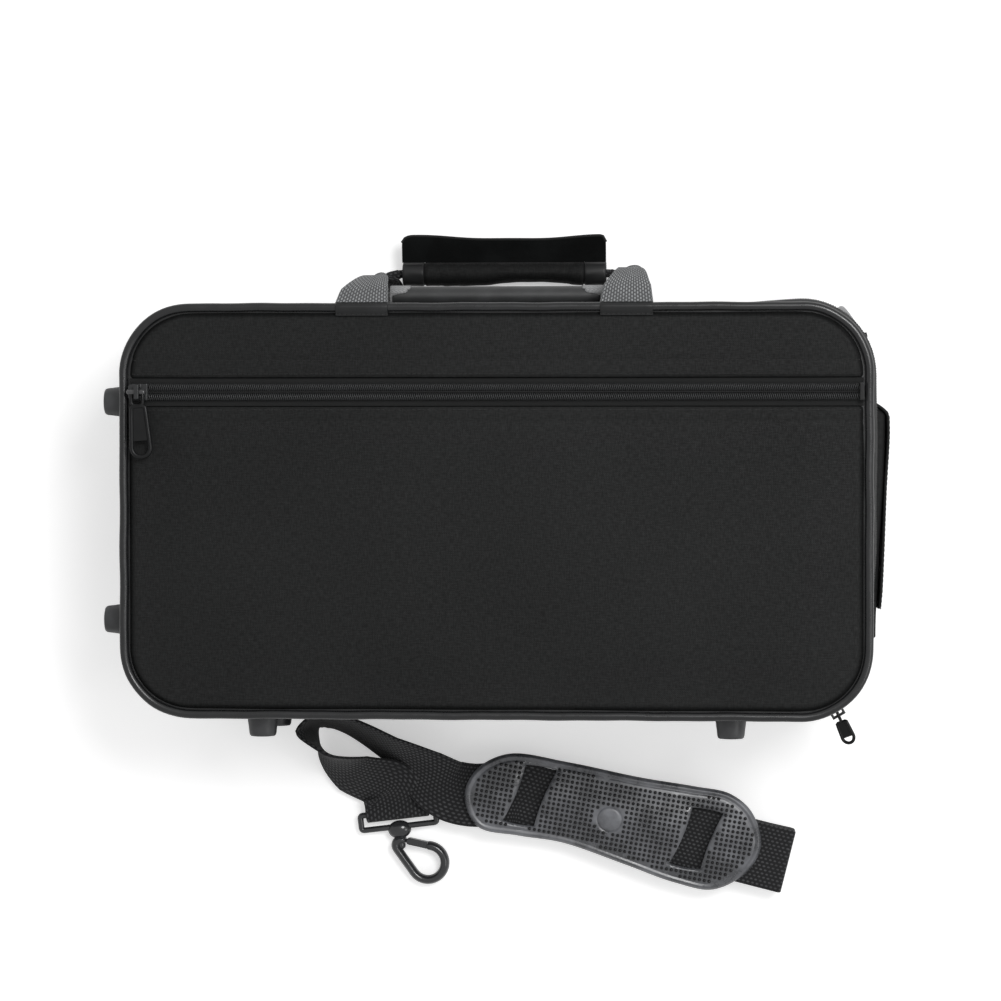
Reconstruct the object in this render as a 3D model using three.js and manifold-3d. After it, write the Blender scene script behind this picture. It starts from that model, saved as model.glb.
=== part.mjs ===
// A soft clarinet case lying on its back panel, with its shoulder strap beside it.
// Millimetres. +X runs along the case, +Y to the side that carries the handles, +Z out of the
// front panel. The origin is the centre of the back panel's outer face.

import * as THREE from 'three';
import { mergeVertices } from 'three/addons/utils/BufferGeometryUtils.js';
import Module from 'manifold-3d';

const wasm = await Module();
wasm.setup();

// Case body
const caseLength = 378;
const caseWidth = 207;
const cornerRadius = 34;
const splitHeight = 60;
const baseShellBottom = 4.7;
const lidShellTop = 95.7;
const shellWall = 6;
const baseFloor = 5;
const lidRoof = 3.5;
const seamGap = 0.3;
const overrun = 2;

// Piping, back panel and front panel
const pipingRadius = 2.2;
const panelThickness = 3.4;
const pocketSkin = 1.6;
const pocketZipLine = 60.5;
const pocketZipBand = 15;
const pocketChain = 9;
const pocketChainProud = 0.6;

// Main zip, set in a rebate of both shells
const rebateDepth = 1.8;
const rebateHeight = 8;
const tapeThickness = 1;
const tapeInset = 0.4;
const chainHalf = 2.6;
const chainProud = 1.4;
const zipEndAngle = 66;
const hingeTapeGap = 1.5;

// Lining
const insertTop = 52;
const insertFloor = 2.5;
const lowerJointLength = 258;
const lowerJointRadius = 24;
const upperJointLength = 230;
const upperJointRadius = 23;
const bellLength = 104;
const bellRadius = 39.5;
const bellNeckRadius = 24;
const barrelLength = 74;
const barrelRadius = 18;
const mouthpieceLength = 96;
const mouthpieceRadius = 19;
const trayWidth = 58;
const trayDepth = 30;
const slotWidth = 20;
const liningMargin = 11;
const divider = 9;
const liningThickness = 12;

// Feet
const footBaseRadius = 8.2;
const footTipRadius = 6.4;
const footHeight = 12;
const footRim = 1.2;
const footSpreadEnd = 56;
const footSpreadSide = 120;
const baseFootHeight = 24;
const lidFootHeight = 82;

// Handles
const handleWebbing = 27;
const webbingThickness = 1.8;
const handleOutset = 12.5;
const gripLength = 109;
const gripRadius = 5;
const gripBore = 3.2;
const handleCore = 2.9;
const rolledShare = 0.7;
const gripFillShare = 1.6;
const frontGripLine = 6.6;
const frontGripDrop = 24;
const frontCrest = 16;
const backGripReach = 22;
const sleeveRadius = 6.6;
const flapReach = 14;
const flapThickness = 1.6;
const flapHingeAngle = 40;
const flapRise = 15;

// Zip sliders and pulls
const sliderLength = 10;
const sliderWidth = 8.4;
const sliderThickness = 2.4;
const sliderClearance = 0.5;
const saddleReach = 0;
const bridgeHeight = 4.6;
const bridgeBar = 1.3;
const bridgeSpan = 7.4;
const bridgeWidth = 2.4;
const pullWidth = 12;
const pullLength = 34;
const pullThickness = 1.8;
const pullBar = 2;
const pullSlotWidth = 3.6;
const pullSlotLength = 4.4;
const pullEye = 1.9;
const linkWidth = 7;
const mainPullLength = 10;
const mainSliderAngle = 60;
const mainPullHeading = 66;
const mainPullTwist = 60;
const stopLength = 2.4;

// End pouch
const pouchTop = 61;
const pouchLength = 129;
const pouchDeep = 11.5;
const pouchShallow = 6.8;
const pouchShoulder = 7;
const pouchWidth = 34;
const pouchHeight = 30;
const pouchWall = 1.5;
const pouchFlapLength = 113;
const pouchFlapWall = 1.4;
const flapRootShare = 1.3;

// D-rings on their webbing tabs
const ringWidth = 28;
const ringLength = 17;
const ringWire = 1.9;
const ringHeight = 30;
const ringTabAngle = 33;
const tabWidth = 22;
const tabStandoff = 4.4;
const tabTail = 5;
const tabClearance = 0.35;

// Shoulder strap, pad and hooks
const strapWidth = 34;
const padX = 58;
const padStandoff = 63.5;
const padTurn = -10;
const padLength = 160;
const padWidth = 53;
const padThickness = 5;
const padEdge = 1.2;
const padSlotLength = 17;
const padSlotWidth = 33;
const padSlotLean = 7;
const padSlotShare = 0.57;
const padStrapTurn = -4;
const padStrapOffset = 2;
const keeperHeight = 1.5;
const keeperWidth = 12;
const keeperShare = 0.22;
const layerGap = 0.3;
const entryInset = 5;
const entrySide = 7;
const foldReach = 94;
const foldReturn = 42;
const tailTurn = 1.5;
const foldDip = 0.5;
const hookThickness = 8.4;
const hookRoom = 3;
const floorGap = 0.2;
const hookEndRadius = 11.5;
const hookNeckRadius = 5.4;
const hookReach = 17;
const hookBar = 4.6;
const hookLean = 50;
const eyeNeckShare = 0.4;
const crossbarLength = 44;
const crossbarBar = 3;
const crossbarSlot = 5;
const crossbarThickness = 2.6;
const collarLength = 3;
const collarWidth = 13;
const stemRadius = 2.6;
const stemHead = 1.6;
const stemClearance = 0.3;
const gateBar = 3.2;
const gateThickness = 5;
const gateStartShare = 0.12;
const gateEndShare = 0.9;
const firstHookX = -58;
const firstHookStandoff = 60.5;
const firstHookTurn = -83;

const clothBlack = new THREE.MeshStandardMaterial({ color: 0x232425, roughness: 0.9, metalness: 0 });
const vinylGrey = new THREE.MeshStandardMaterial({ color: 0x45484a, roughness: 0.45, metalness: 0 });
const plushBlack = new THREE.MeshStandardMaterial({ color: 0x17171a, roughness: 1, metalness: 0 });
const zipBlack = new THREE.MeshStandardMaterial({ color: 0x1b1c1d, roughness: 0.5, metalness: 0 });
const webbingGrey = new THREE.MeshStandardMaterial({ color: 0x3c3d3f, roughness: 0.85, metalness: 0 });
const rubberGrey = new THREE.MeshStandardMaterial({ color: 0x4a4b4e, roughness: 0.75, metalness: 0 });
const plasticBlack = new THREE.MeshStandardMaterial({ color: 0x1d1e20, roughness: 0.3, metalness: 0 });
const steelGrey = new THREE.MeshStandardMaterial({ color: 0x8c8f92, roughness: 0.3, metalness: 1 });

const clarinetCase = new THREE.Group();
const halfLength = caseLength / 2;
const halfWidth = caseWidth / 2;
const cornerX = halfLength - cornerRadius;
const cornerY = halfWidth - cornerRadius;
const cornerSteps = 7;
const handleSpread = gripLength / 2 + handleOutset;
const padY = -halfWidth - padStandoff;
const firstHookY = -halfWidth - firstHookStandoff;

function addPiece(name, geometry, material, parent = clarinetCase) {
  const mesh = new THREE.Mesh(geometry, material);
  mesh.name = name;
  parent.add(mesh);
  return mesh;
}

function solid(geometry) {
  const bare = geometry.index ? geometry.toNonIndexed() : geometry.clone();
  bare.deleteAttribute('normal');
  bare.deleteAttribute('uv');
  const merged = mergeVertices(bare, 1e-4);
  const vertProperties = new Float32Array(merged.attributes.position.array);
  const triVerts = new Uint32Array(merged.index.array);
  return new wasm.Manifold(new wasm.Mesh({ numProp: 3, vertProperties, triVerts }));
}

function geometryOf(body) {
  const mesh = body.getMesh();
  const geometry = new THREE.BufferGeometry();
  geometry.setAttribute('position', new THREE.BufferAttribute(mesh.vertProperties, 3));
  geometry.setIndex(new THREE.BufferAttribute(mesh.triVerts, 1));
  geometry.computeVertexNormals();
  return geometry;
}

function join(...geometries) {
  return geometryOf(geometries.map(solid).reduce((a, b) => a.add(b)));
}

function cut(geometry, ...tools) {
  return geometryOf(tools.map(solid).reduce((a, b) => a.subtract(b), solid(geometry)));
}

function box(x0, x1, y0, y1, z0, z1) {
  const geometry = new THREE.BoxGeometry(x1 - x0, y1 - y0, z1 - z0);
  return geometry.translate((x0 + x1) / 2, (y0 + y1) / 2, (z0 + z1) / 2);
}

function slab(shape, bottom, top, curveSegments = cornerSteps) {
  const options = { depth: top - bottom, bevelEnabled: false, curveSegments };
  return new THREE.ExtrudeGeometry(shape, options).translate(0, 0, bottom);
}

function rodX(x0, x1, y, z, radius, endRadius = radius, sides = 16) {
  const rod = new THREE.CylinderGeometry(endRadius, radius, x1 - x0, sides);
  return rod.rotateZ(-Math.PI / 2).translate((x0 + x1) / 2, y, z);
}

// A closed body through rings of points that all have as many points. Its faces point out.
function loft(rings, closed = false) {
  const count = rings[0].length;
  const positions = rings.flat().flatMap((p) => [p.x, p.y, p.z]);
  const faces = [];
  const spans = closed ? rings.length : rings.length - 1;
  for (let r = 0; r < spans; r += 1) {
    const a = r * count;
    const b = ((r + 1) % rings.length) * count;
    for (let i = 0; i < count; i += 1) {
      const j = (i + 1) % count;
      faces.push(a + i, a + j, b + j, a + i, b + j, b + i);
    }
  }
  if (!closed) {
    const last = (rings.length - 1) * count;
    for (let i = 1; i < count - 1; i += 1) {
      faces.push(0, i + 1, i, last, last + i, last + i + 1);
    }
  }
  const point = (i) => new THREE.Vector3().fromArray(positions, 3 * i);
  let volume = 0;
  for (let i = 0; i < faces.length; i += 3) {
    volume += point(faces[i]).dot(point(faces[i + 1]).cross(point(faces[i + 2])));
  }
  if (volume < 0) faces.reverse();
  const geometry = new THREE.BufferGeometry();
  geometry.setAttribute('position', new THREE.Float32BufferAttribute(positions, 3));
  geometry.setIndex(faces);
  geometry.computeVertexNormals();
  return geometry;
}

// The case's outline, moved outwards by an offset.
function caseOutline(offset) {
  const radius = cornerRadius + offset;
  const shape = new THREE.Shape();
  shape.absarc(cornerX, -cornerY, radius, -Math.PI / 2, 0, false);
  shape.absarc(cornerX, cornerY, radius, 0, Math.PI / 2, false);
  shape.absarc(-cornerX, cornerY, radius, Math.PI / 2, Math.PI, false);
  shape.absarc(-cornerX, -cornerY, radius, Math.PI, 1.5 * Math.PI, false);
  shape.closePath();
  return shape;
}

// Points on the gusset with the direction that faces out, over the angles from first to last.
function gussetStations(first, last) {
  const centres = [[cornerX, -cornerY], [cornerX, cornerY], [-cornerX, cornerY], [-cornerX, -cornerY]];
  return centres.flatMap(([x, y], corner) => {
    const start = Math.max(first, 90 * (corner - 1));
    const end = Math.min(last, 90 * corner);
    return Array.from({ length: cornerSteps + 1 }, (_, step) => {
      const angle = THREE.MathUtils.degToRad(start + ((end - start) * step) / cornerSteps);
      const out = new THREE.Vector3(Math.cos(angle), Math.sin(angle), 0);
      return { at: out.clone().multiplyScalar(cornerRadius).add(new THREE.Vector3(x, y, 0)), out };
    });
  });
}

// A section of [offset outwards, height] points, carried along the gusset.
function sweepGusset(section, stations, closed) {
  const rings = stations.map(({ at, out }) => section.map(([offset, height]) => (
    at.clone().addScaledVector(out, offset).setZ(height))));
  return loft(rings, closed);
}

function discSection(offset, height, radius, sides = 8) {
  return Array.from({ length: sides }, (_, i) => {
    const angle = (2 * Math.PI * (i + 0.5)) / sides;
    return [offset + radius * Math.cos(angle), height + radius * Math.sin(angle)];
  });
}

const wholeGusset = gussetStations(-90, 270);
const zipGusset = gussetStations(-zipEndAngle, 180 + zipEndAngle);
const baseRim = splitHeight - seamGap / 2;
const lidRim = splitHeight + seamGap / 2;
const insideFloor = baseShellBottom + baseFloor;
const insideRoof = lidShellTop - lidRoof;

function shellWithRebate(bottom, top, hollowBottom, hollowTop, rebateBottom, rebateTop) {
  const outer = slab(caseOutline(0), bottom, top);
  const hollow = slab(caseOutline(-shellWall), hollowBottom, hollowTop);
  const ring = cut(slab(caseOutline(overrun), rebateBottom, rebateTop),
    slab(caseOutline(-rebateDepth), rebateBottom - overrun, rebateTop + overrun));
  return cut(outer, hollow, ring);
}

function makeBaseShell() {
  const shell = shellWithRebate(baseShellBottom, baseRim, insideFloor, baseRim + overrun,
    splitHeight - rebateHeight, baseRim + overrun);
  addPiece('base_shell', shell, clothBlack);
}

function makeLidShell() {
  const shell = shellWithRebate(lidRim, lidShellTop, lidRim - overrun, insideRoof,
    lidRim - overrun, splitHeight + rebateHeight);
  addPiece('lid_shell', shell, clothBlack);
}

function makePanelsAndPiping() {
  const backAxis = baseShellBottom - seamGap - pipingRadius;
  const frontAxis = lidShellTop + seamGap + pipingRadius;
  const inset = -pipingRadius - seamGap;
  const frontBottom = lidShellTop + seamGap;
  const frontTop = frontBottom + panelThickness;
  addPiece('back_panel', slab(caseOutline(inset), 0, baseShellBottom - seamGap), clothBlack);
  addPiece('back_piping', sweepGusset(discSection(0, backAxis, pipingRadius), wholeGusset, true), vinylGrey);
  addPiece('front_piping', sweepGusset(discSection(0, frontAxis, pipingRadius), wholeGusset, true), vinylGrey);
  const whole = slab(caseOutline(inset), frontBottom, frontTop);
  const skin = slab(caseOutline(inset), frontTop - pocketSkin, frontTop);
  const zipTop = pocketZipLine + pocketZipBand / 2;
  const zipBottom = pocketZipLine - pocketZipBand / 2;
  const reach = halfLength + overrun;
  addPiece('front_panel', cut(whole, box(-reach, reach, -reach, zipTop, 0, frontTop + overrun)), clothBlack);
  addPiece('pocket_panel', cut(skin, box(-reach, reach, zipBottom, reach, 0, frontTop + overrun)), clothBlack);
  return frontTop;
}

function makeMainZip() {
  const backFace = -tapeInset - tapeThickness;
  const half = (tapeEnd, rim) => {
    const turn = rim + (tapeEnd > rim ? chainHalf : -chainHalf);
    return [[backFace, rim], [chainProud, rim], [chainProud, turn], [-tapeInset, turn],
      [-tapeInset, tapeEnd], [backFace, tapeEnd]];
  };
  const tapeReach = rebateHeight - seamGap;
  const baseHalf = sweepGusset(half(splitHeight - tapeReach, baseRim), zipGusset, false);
  const lidHalf = sweepGusset(half(splitHeight + tapeReach, lidRim), zipGusset, false);
  addPiece('main_zip_base_half', baseHalf, zipBlack);
  addPiece('main_zip_lid_half', lidHalf, zipBlack);
}

function makeHingeTapes() {
  const inner = -halfWidth + tapeInset + tapeThickness;
  const outer = -halfWidth + tapeInset;
  const reach = rebateHeight - seamGap;
  const near = splitHeight - hingeTapeGap;
  const far = splitHeight + hingeTapeGap;
  addPiece('hinge_tape_base', box(-cornerX, cornerX, outer, inner, splitHeight - reach, near), clothBlack);
  addPiece('hinge_tape_lid', box(-cornerX, cornerX, outer, inner, far, splitHeight + reach), clothBlack);
}

function channel(x0, x1, y, radius, depth) {
  const axis = depth + radius;
  return join(rodX(x0, x1, y, axis, radius), box(x0, x1, y - radius, y + radius, axis, insertTop + overrun));
}

function makeInsert() {
  const edgeX = halfLength - shellWall - liningMargin;
  const edgeY = halfWidth - shellWall - liningMargin;
  const bottom = insideFloor + seamGap;
  const recessFloor = bottom + insertFloor;
  const lowerY = edgeY - lowerJointRadius;
  const upperY = lowerY - lowerJointRadius - divider - upperJointRadius;
  const bellY = lowerY - lowerJointRadius - divider - bellRadius;
  const mouthpieceY = upperY - upperJointRadius - divider - mouthpieceRadius;
  const rightStart = edgeX - bellLength;
  const trayStart = mouthpieceLength - edgeX + divider;
  const trayTop = mouthpieceY + mouthpieceRadius;
  const bellAxis = recessFloor + bellRadius;
  const bellRod = rodX(rightStart, edgeX, bellY, bellAxis, bellNeckRadius, bellRadius, 20);
  const bellRoom = join(bellRod, box(rightStart, edgeX, bellY - bellNeckRadius, bellY + bellNeckRadius,
    bellAxis, insertTop + overrun));
  const insert = cut(
    slab(caseOutline(-shellWall - seamGap), bottom, insertTop),
    channel(-edgeX, lowerJointLength - edgeX, lowerY, lowerJointRadius, recessFloor),
    channel(edgeX - barrelLength, edgeX, lowerY, barrelRadius, recessFloor),
    channel(-edgeX, upperJointLength - edgeX, upperY, upperJointRadius, recessFloor),
    channel(-edgeX, mouthpieceLength - edgeX, mouthpieceY, mouthpieceRadius, recessFloor),
    bellRoom,
    box(trayStart, rightStart - divider, trayTop - trayWidth, trayTop, insertTop - trayDepth, insertTop + overrun),
    box(rightStart, edgeX, -edgeY, slotWidth - edgeY, insertTop - trayDepth, insertTop + overrun),
  );
  addPiece('base_insert', insert, plushBlack);
  const lining = cut(
    slab(caseOutline(-shellWall - seamGap), insideRoof - seamGap - liningThickness, insideRoof - seamGap),
    box(rightStart, edgeX, bellY - bellRadius, bellY + bellRadius, insertTop, lidShellTop),
  );
  addPiece('lid_lining', lining, plushBlack);
}

function footGeometry() {
  const profile = [
    [0, 0], [footBaseRadius, 0], [footTipRadius + footRim / 2, footHeight - footRim],
    [footTipRadius - footRim / 2, footHeight], [0, footHeight],
  ].map(([r, h]) => new THREE.Vector2(r, h));
  return new THREE.LatheGeometry(profile, 16);
}

function makeFeet() {
  for (const [half, height] of [['base', baseFootHeight], ['lid', lidFootHeight]]) {
    for (const [place, side] of [['upper', 1], ['lower', -1]]) {
      const foot = addPiece(`${half}_end_foot_${place}`, footGeometry(), rubberGrey);
      foot.rotation.z = Math.PI / 2;
      foot.position.set(-halfLength - seamGap, side * footSpreadEnd, height);
    }
    for (const [place, side] of [['left', -1], ['right', 1]]) {
      const foot = addPiece(`${half}_side_foot_${place}`, footGeometry(), rubberGrey);
      foot.rotation.z = Math.PI;
      foot.position.set(side * footSpreadSide, -halfWidth - seamGap, height);
    }
  }
}

// A strap through stations of centre, direction across its width, width and thickness.
function ribbon(stations, steps) {
  const curve = new THREE.CatmullRomCurve3(stations.map((s) => s.at), false, 'centripetal');
  const lengths = stations.length - 1;
  const rings = Array.from({ length: steps + 1 }, (_, i) => {
    const t = i / steps;
    const at = curve.getPoint(t);
    const along = curve.getTangent(t);
    const place = Math.min(Math.floor(t * lengths), lengths - 1);
    const share = t * lengths - place;
    const [from, to] = [stations[place], stations[place + 1]];
    const across = from.across.clone().lerp(to.across, share);
    across.addScaledVector(along, -across.dot(along)).normalize();
    const face = new THREE.Vector3().crossVectors(along, across).normalize();
    const halfAcross = THREE.MathUtils.lerp(from.width, to.width, share) / 2;
    const halfThick = THREE.MathUtils.lerp(from.thick, to.thick, share) / 2;
    return [[1, 1], [-1, 1], [-1, -1], [1, -1]].map(([a, b]) => (
      at.clone().addScaledVector(across, a * halfAcross).addScaledVector(face, b * halfThick)));
  });
  return loft(rings);
}

function vec(x, y, z) {
  return new THREE.Vector3(x, y, z);
}

// One leg of a handle: flat webbing from its seam that curls over and rolls up into the grip's end.
function handleLeg(side, seamZ, gripY, gripZ, crestY, crestZ, rolled) {
  const seamY = halfWidth + pipingRadius + 2 * seamGap;
  const gripEnd = side * (gripLength / 2 + gripRadius);
  const base = side * handleSpread;
  const tuck = gripEnd - side * handleCore;
  const across = vec(1, 0, 0);
  return ribbon([
    { at: vec(base, seamY, seamZ), across, width: handleWebbing, thick: webbingThickness },
    { at: vec(base, (seamY + crestY) / 2, crestZ), across, width: handleWebbing, thick: webbingThickness },
    { at: vec(base, crestY, (crestZ + gripZ) / 2), across,
      width: rolledShare * handleWebbing, thick: webbingThickness },
    { at: vec(gripEnd + side * handleCore, (crestY + gripY) / 2, gripZ), across: rolled,
      width: gripFillShare * gripRadius, thick: gripRadius },
    { at: vec(tuck, gripY, gripZ), across: rolled, width: handleCore, thick: handleCore },
  ], 14);
}

function handleWebbingPiece(name, seamZ, gripY, gripZ, crestY, crestZ, rolled) {
  const reach = gripLength / 2 + handleCore;
  const core = rodX(-reach, reach, gripY, gripZ, handleCore, handleCore, 10);
  const legs = [-1, 1].map((side) => handleLeg(side, seamZ, gripY, gripZ, crestY, crestZ, rolled));
  addPiece(name, join(core, ...legs), webbingGrey);
}

function tubeOnCore(length, y, z, radius) {
  const bore = rodX(-length, length, y, z, gripBore, gripBore, 12);
  return cut(rodX(-length / 2, length / 2, y, z, radius), bore);
}

function makeFrontHandle(frontTop) {
  const gripY = halfWidth + frontGripLine;
  const gripZ = frontTop - frontGripDrop;
  const crestY = halfWidth + frontCrest;
  const seamZ = frontTop - webbingThickness / 2;
  handleWebbingPiece('front_handle_webbing', seamZ, gripY, gripZ, crestY, seamZ - webbingThickness, vec(0, 1, 0.4));
  addPiece('front_handle_grip', tubeOnCore(gripLength, gripY, gripZ, gripRadius), vinylGrey);
}

function makeBackHandle() {
  const gripY = halfWidth + backGripReach;
  const gripZ = sleeveRadius + seamGap;
  const seamZ = floorGap + webbingThickness / 2;
  const crestY = gripY - gripRadius;
  const crestZ = seamZ + 2 * webbingThickness;
  handleWebbingPiece('back_handle_webbing', seamZ, gripY, gripZ, crestY, crestZ, vec(0, 0.4, 1));
  addPiece('handle_wrap_sleeve', tubeOnCore(gripLength, gripY, gripZ, sleeveRadius), clothBlack);
  const flapRadius = sleeveRadius + seamGap + flapThickness / 2;
  const hingeAngle = THREE.MathUtils.degToRad(flapHingeAngle);
  const flap = box(-gripLength / 2, gripLength / 2, 0, flapReach, -flapThickness / 2, flapThickness / 2);
  const piece = addPiece('handle_wrap_flap', flap, plushBlack);
  piece.position.set(0, gripY + flapRadius * Math.cos(hingeAngle), gripZ + flapRadius * Math.sin(hingeAngle));
  piece.rotation.x = THREE.MathUtils.degToRad(flapRise);
}

// A slider whose chain runs along x and whose bridge stands on its outer face. Its z faces out.
function sliderGeometry(low, high, bridgeAcross) {
  const top = sliderClearance + sliderThickness;
  const nose = sliderLength / 2;
  const shape = new THREE.Shape([
    [-nose, low + sliderThickness / 2], [-nose + sliderThickness, low], [nose, low],
    [nose, high], [-nose + sliderThickness, high], [-nose, high - sliderThickness / 2],
  ].map(([x, y]) => new THREE.Vector2(x, y)));
  const middle = (low + high) / 2;
  const half = bridgeSpan / 2;
  const foot = top - sliderThickness / 2;
  const crown = top + bridgeHeight;
  const sides = [-1, 1].map((side) => box(side * half - (side > 0 ? bridgeBar : 0),
    side * half + (side > 0 ? 0 : bridgeBar), -bridgeWidth / 2, bridgeWidth / 2, foot, crown));
  const bar = box(-half, half, -bridgeWidth / 2, bridgeWidth / 2, crown - bridgeBar, crown);
  const bridge = join(...sides, bar);
  if (bridgeAcross) bridge.rotateZ(Math.PI / 2);
  return join(slab(shape, sliderClearance, top), bridge.translate(0, middle, 0));
}

const pullAxisHeight = sliderClearance + sliderThickness + (bridgeHeight - bridgeBar) / 2;

function roundedTab(width, top, bottom) {
  const half = width / 2;
  const shape = new THREE.Shape();
  shape.moveTo(-half + pullBar / 2, top);
  shape.lineTo(-half, top - pullBar / 2);
  shape.lineTo(-half, bottom + half);
  shape.absarc(0, bottom + half, half, Math.PI, 2 * Math.PI, false);
  shape.lineTo(half, top - pullBar / 2);
  shape.lineTo(half - pullBar / 2, top);
  shape.closePath();
  return shape;
}

function bridgeSlot() {
  const half = pullSlotWidth / 2;
  const top = -pullBar / 2;
  const slot = new THREE.Path();
  slot.moveTo(-half, top);
  slot.lineTo(half, top);
  slot.lineTo(half, top - pullSlotLength);
  slot.lineTo(-half, top - pullSlotLength);
  slot.closePath();
  return slot;
}

function eyeHole(bottom) {
  const eye = new THREE.Path();
  eye.absarc(0, bottom + 2 * pullEye, pullEye, 0, 2 * Math.PI, true);
  return eye;
}

// A pull tab that hangs along -y from a bar on its own x axis.
function pocketPullGeometry() {
  const shape = roundedTab(pullWidth, pullBar / 2, -pullLength);
  shape.holes.push(bridgeSlot(), eyeHole(-pullLength));
  return slab(shape, -pullThickness / 2, pullThickness / 2, 5);
}

function mainPullGeometry() {
  const linkEnd = -2 * pullBar - pullSlotLength;
  const link = new THREE.Shape([
    [-linkWidth / 2, pullBar / 2], [-linkWidth / 2, linkEnd], [linkWidth / 2, linkEnd], [linkWidth / 2, pullBar / 2],
  ].map(([x, y]) => new THREE.Vector2(x, y)));
  link.holes.push(bridgeSlot());
  const tab = roundedTab(pullWidth, linkEnd + pullBar, linkEnd - mainPullLength);
  tab.holes.push(eyeHole(linkEnd - mainPullLength));
  const twisted = slab(tab, -pullThickness / 2, pullThickness / 2, 5);
  twisted.rotateY(THREE.MathUtils.degToRad(mainPullTwist));
  return join(slab(link, -pullThickness / 2, pullThickness / 2), twisted);
}

function makePocketZip(frontTop) {
  const bottom = lidShellTop + seamGap;
  const chainTop = frontTop + pocketChainProud;
  const edge = halfLength - pipingRadius - 2 * seamGap;
  const half = pocketZipBand / 2 - seamGap;
  const zip = join(
    box(-edge, edge, pocketZipLine - half, pocketZipLine + half, bottom, bottom + tapeThickness),
    box(-edge, edge, pocketZipLine - pocketChain / 2, pocketZipLine + pocketChain / 2, bottom, chainTop),
  );
  addPiece('pocket_zip', zip, zipBlack);
  const sliderX = -edge + sliderLength / 2 + seamGap;
  const slider = addPiece('pocket_zip_slider', sliderGeometry(-sliderWidth / 2, sliderWidth / 2, true), plasticBlack);
  slider.position.set(sliderX, pocketZipLine, chainTop);
  const pull = addPiece('pocket_zip_pull', pocketPullGeometry(), plasticBlack);
  pull.position.set(sliderX, pocketZipLine, chainTop + pullAxisHeight);
  const stop = box(edge - stopLength, edge, pocketZipLine - pocketChain / 2, pocketZipLine + pocketChain / 2,
    chainTop + seamGap, chainTop + seamGap + tapeThickness);
  addPiece('pocket_zip_stop', stop, plasticBlack);
}

function makeMainSlider() {
  const angle = THREE.MathUtils.degToRad(-mainSliderAngle);
  const out = vec(Math.cos(angle), Math.sin(angle), 0);
  const along = vec(-out.y, out.x, 0);
  const up = vec(0, 0, 1);
  const low = saddleReach - sliderWidth;
  const at = vec(cornerX, -cornerY, splitHeight).addScaledVector(out, cornerRadius + chainProud);
  const slider = addPiece('main_zip_slider', sliderGeometry(low, saddleReach, false), plasticBlack);
  slider.quaternion.setFromRotationMatrix(new THREE.Matrix4().makeBasis(along, up, out));
  slider.position.copy(at);
  const heading = THREE.MathUtils.degToRad(-mainPullHeading);
  const back = vec(-Math.cos(heading), -Math.sin(heading), 0);
  const pull = addPiece('main_zip_pull', mainPullGeometry(), plasticBlack);
  pull.quaternion.setFromRotationMatrix(new THREE.Matrix4().makeBasis(up, back, up.clone().cross(back)));
  pull.position.copy(at).addScaledVector(out, pullAxisHeight).setZ(splitHeight + (low + saddleReach) / 2);
}

// The end pouch is a pocket with a mouth at its +Y end, under a flap that turns down over its face.
function makeEndPouch() {
  const wallX = halfLength + seamGap;
  const mouth = pouchTop - pouchShoulder / 2;
  const shoulder = mouth - pouchShoulder;
  const end = pouchTop - pouchLength;
  const low = pouchHeight - pouchWidth / 2;
  const high = pouchHeight + pouchWidth / 2;
  const points = (list) => new THREE.Shape(list.map(([x, y]) => new THREE.Vector2(x, y)));
  const body = points([[wallX, mouth], [wallX, end], [wallX + pouchShallow - pouchWall * 2, end],
    [wallX + pouchShallow, end + pouchWall * 2], [wallX + pouchDeep, shoulder]]);
  const room = points([[wallX + pouchWall, mouth + overrun], [wallX + pouchWall, end + 2 * pouchWall],
    [wallX + pouchShallow - pouchWall, end + 2 * pouchWall], [wallX + pouchDeep - pouchWall, shoulder],
    [wallX + pouchDeep - pouchWall, mouth + overrun]]);
  const pouch = cut(slab(body, low, high), slab(room, low + pouchWall, high - pouchWall));
  addPiece('end_pouch', pouch, clothBlack);
  const faceSlope = (pouchDeep - pouchShallow) / (shoulder - end - pouchWall * 2);
  const flapEnd = pouchTop - pouchFlapLength;
  const endX = wallX + pouchDeep - (shoulder - flapEnd) * faceSlope + seamGap;
  const bendX = wallX + pouchDeep + seamGap;
  const flap = points([[wallX, mouth + 2 * seamGap], [bendX, shoulder + seamGap], [endX, flapEnd],
    [endX + pouchFlapWall, flapEnd], [bendX + pouchFlapWall, shoulder + pouchFlapWall],
    [wallX, mouth + 2 * seamGap + flapRootShare * pouchFlapWall]]);
  addPiece('end_pouch_flap', slab(flap, low, high), clothBlack);
}

// A ring of round wire round a closed path of [along, across] points, in the plane of two axes.
function wireRing(path, along, across, wire) {
  const normal = along.clone().cross(across);
  const place = ([a, b]) => along.clone().multiplyScalar(a).addScaledVector(across, b);
  const rings = path.map((point, i) => {
    const before = place(path[(i + path.length - 1) % path.length]);
    const after = place(path[(i + 1) % path.length]);
    const side = after.sub(before).normalize().cross(normal);
    return discSection(0, 0, wire, 8).map(([u, v]) => place(point).addScaledVector(side, u).addScaledVector(normal, v));
  });
  return loft(rings, true);
}

function ringPath() {
  const half = ringWidth / 2;
  const shape = new THREE.Shape();
  shape.moveTo(0, -half + ringWire);
  shape.lineTo(0, half - ringWire);
  shape.absarc(ringWire, half - ringWire, ringWire, Math.PI, Math.PI / 2, true);
  shape.bezierCurveTo(ringLength, half, ringLength, ringWire, ringLength, 0);
  shape.bezierCurveTo(ringLength, -ringWire, ringLength, -half, ringWire, -half);
  shape.absarc(ringWire, -half + ringWire, ringWire, -Math.PI / 2, -Math.PI, true);
  return shape.getPoints(4).slice(0, -1).filter((p, i, all) => i === 0 || p.distanceTo(all[i - 1]) > seamGap)
    .map((p) => [p.x, p.y]);
}

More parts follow.
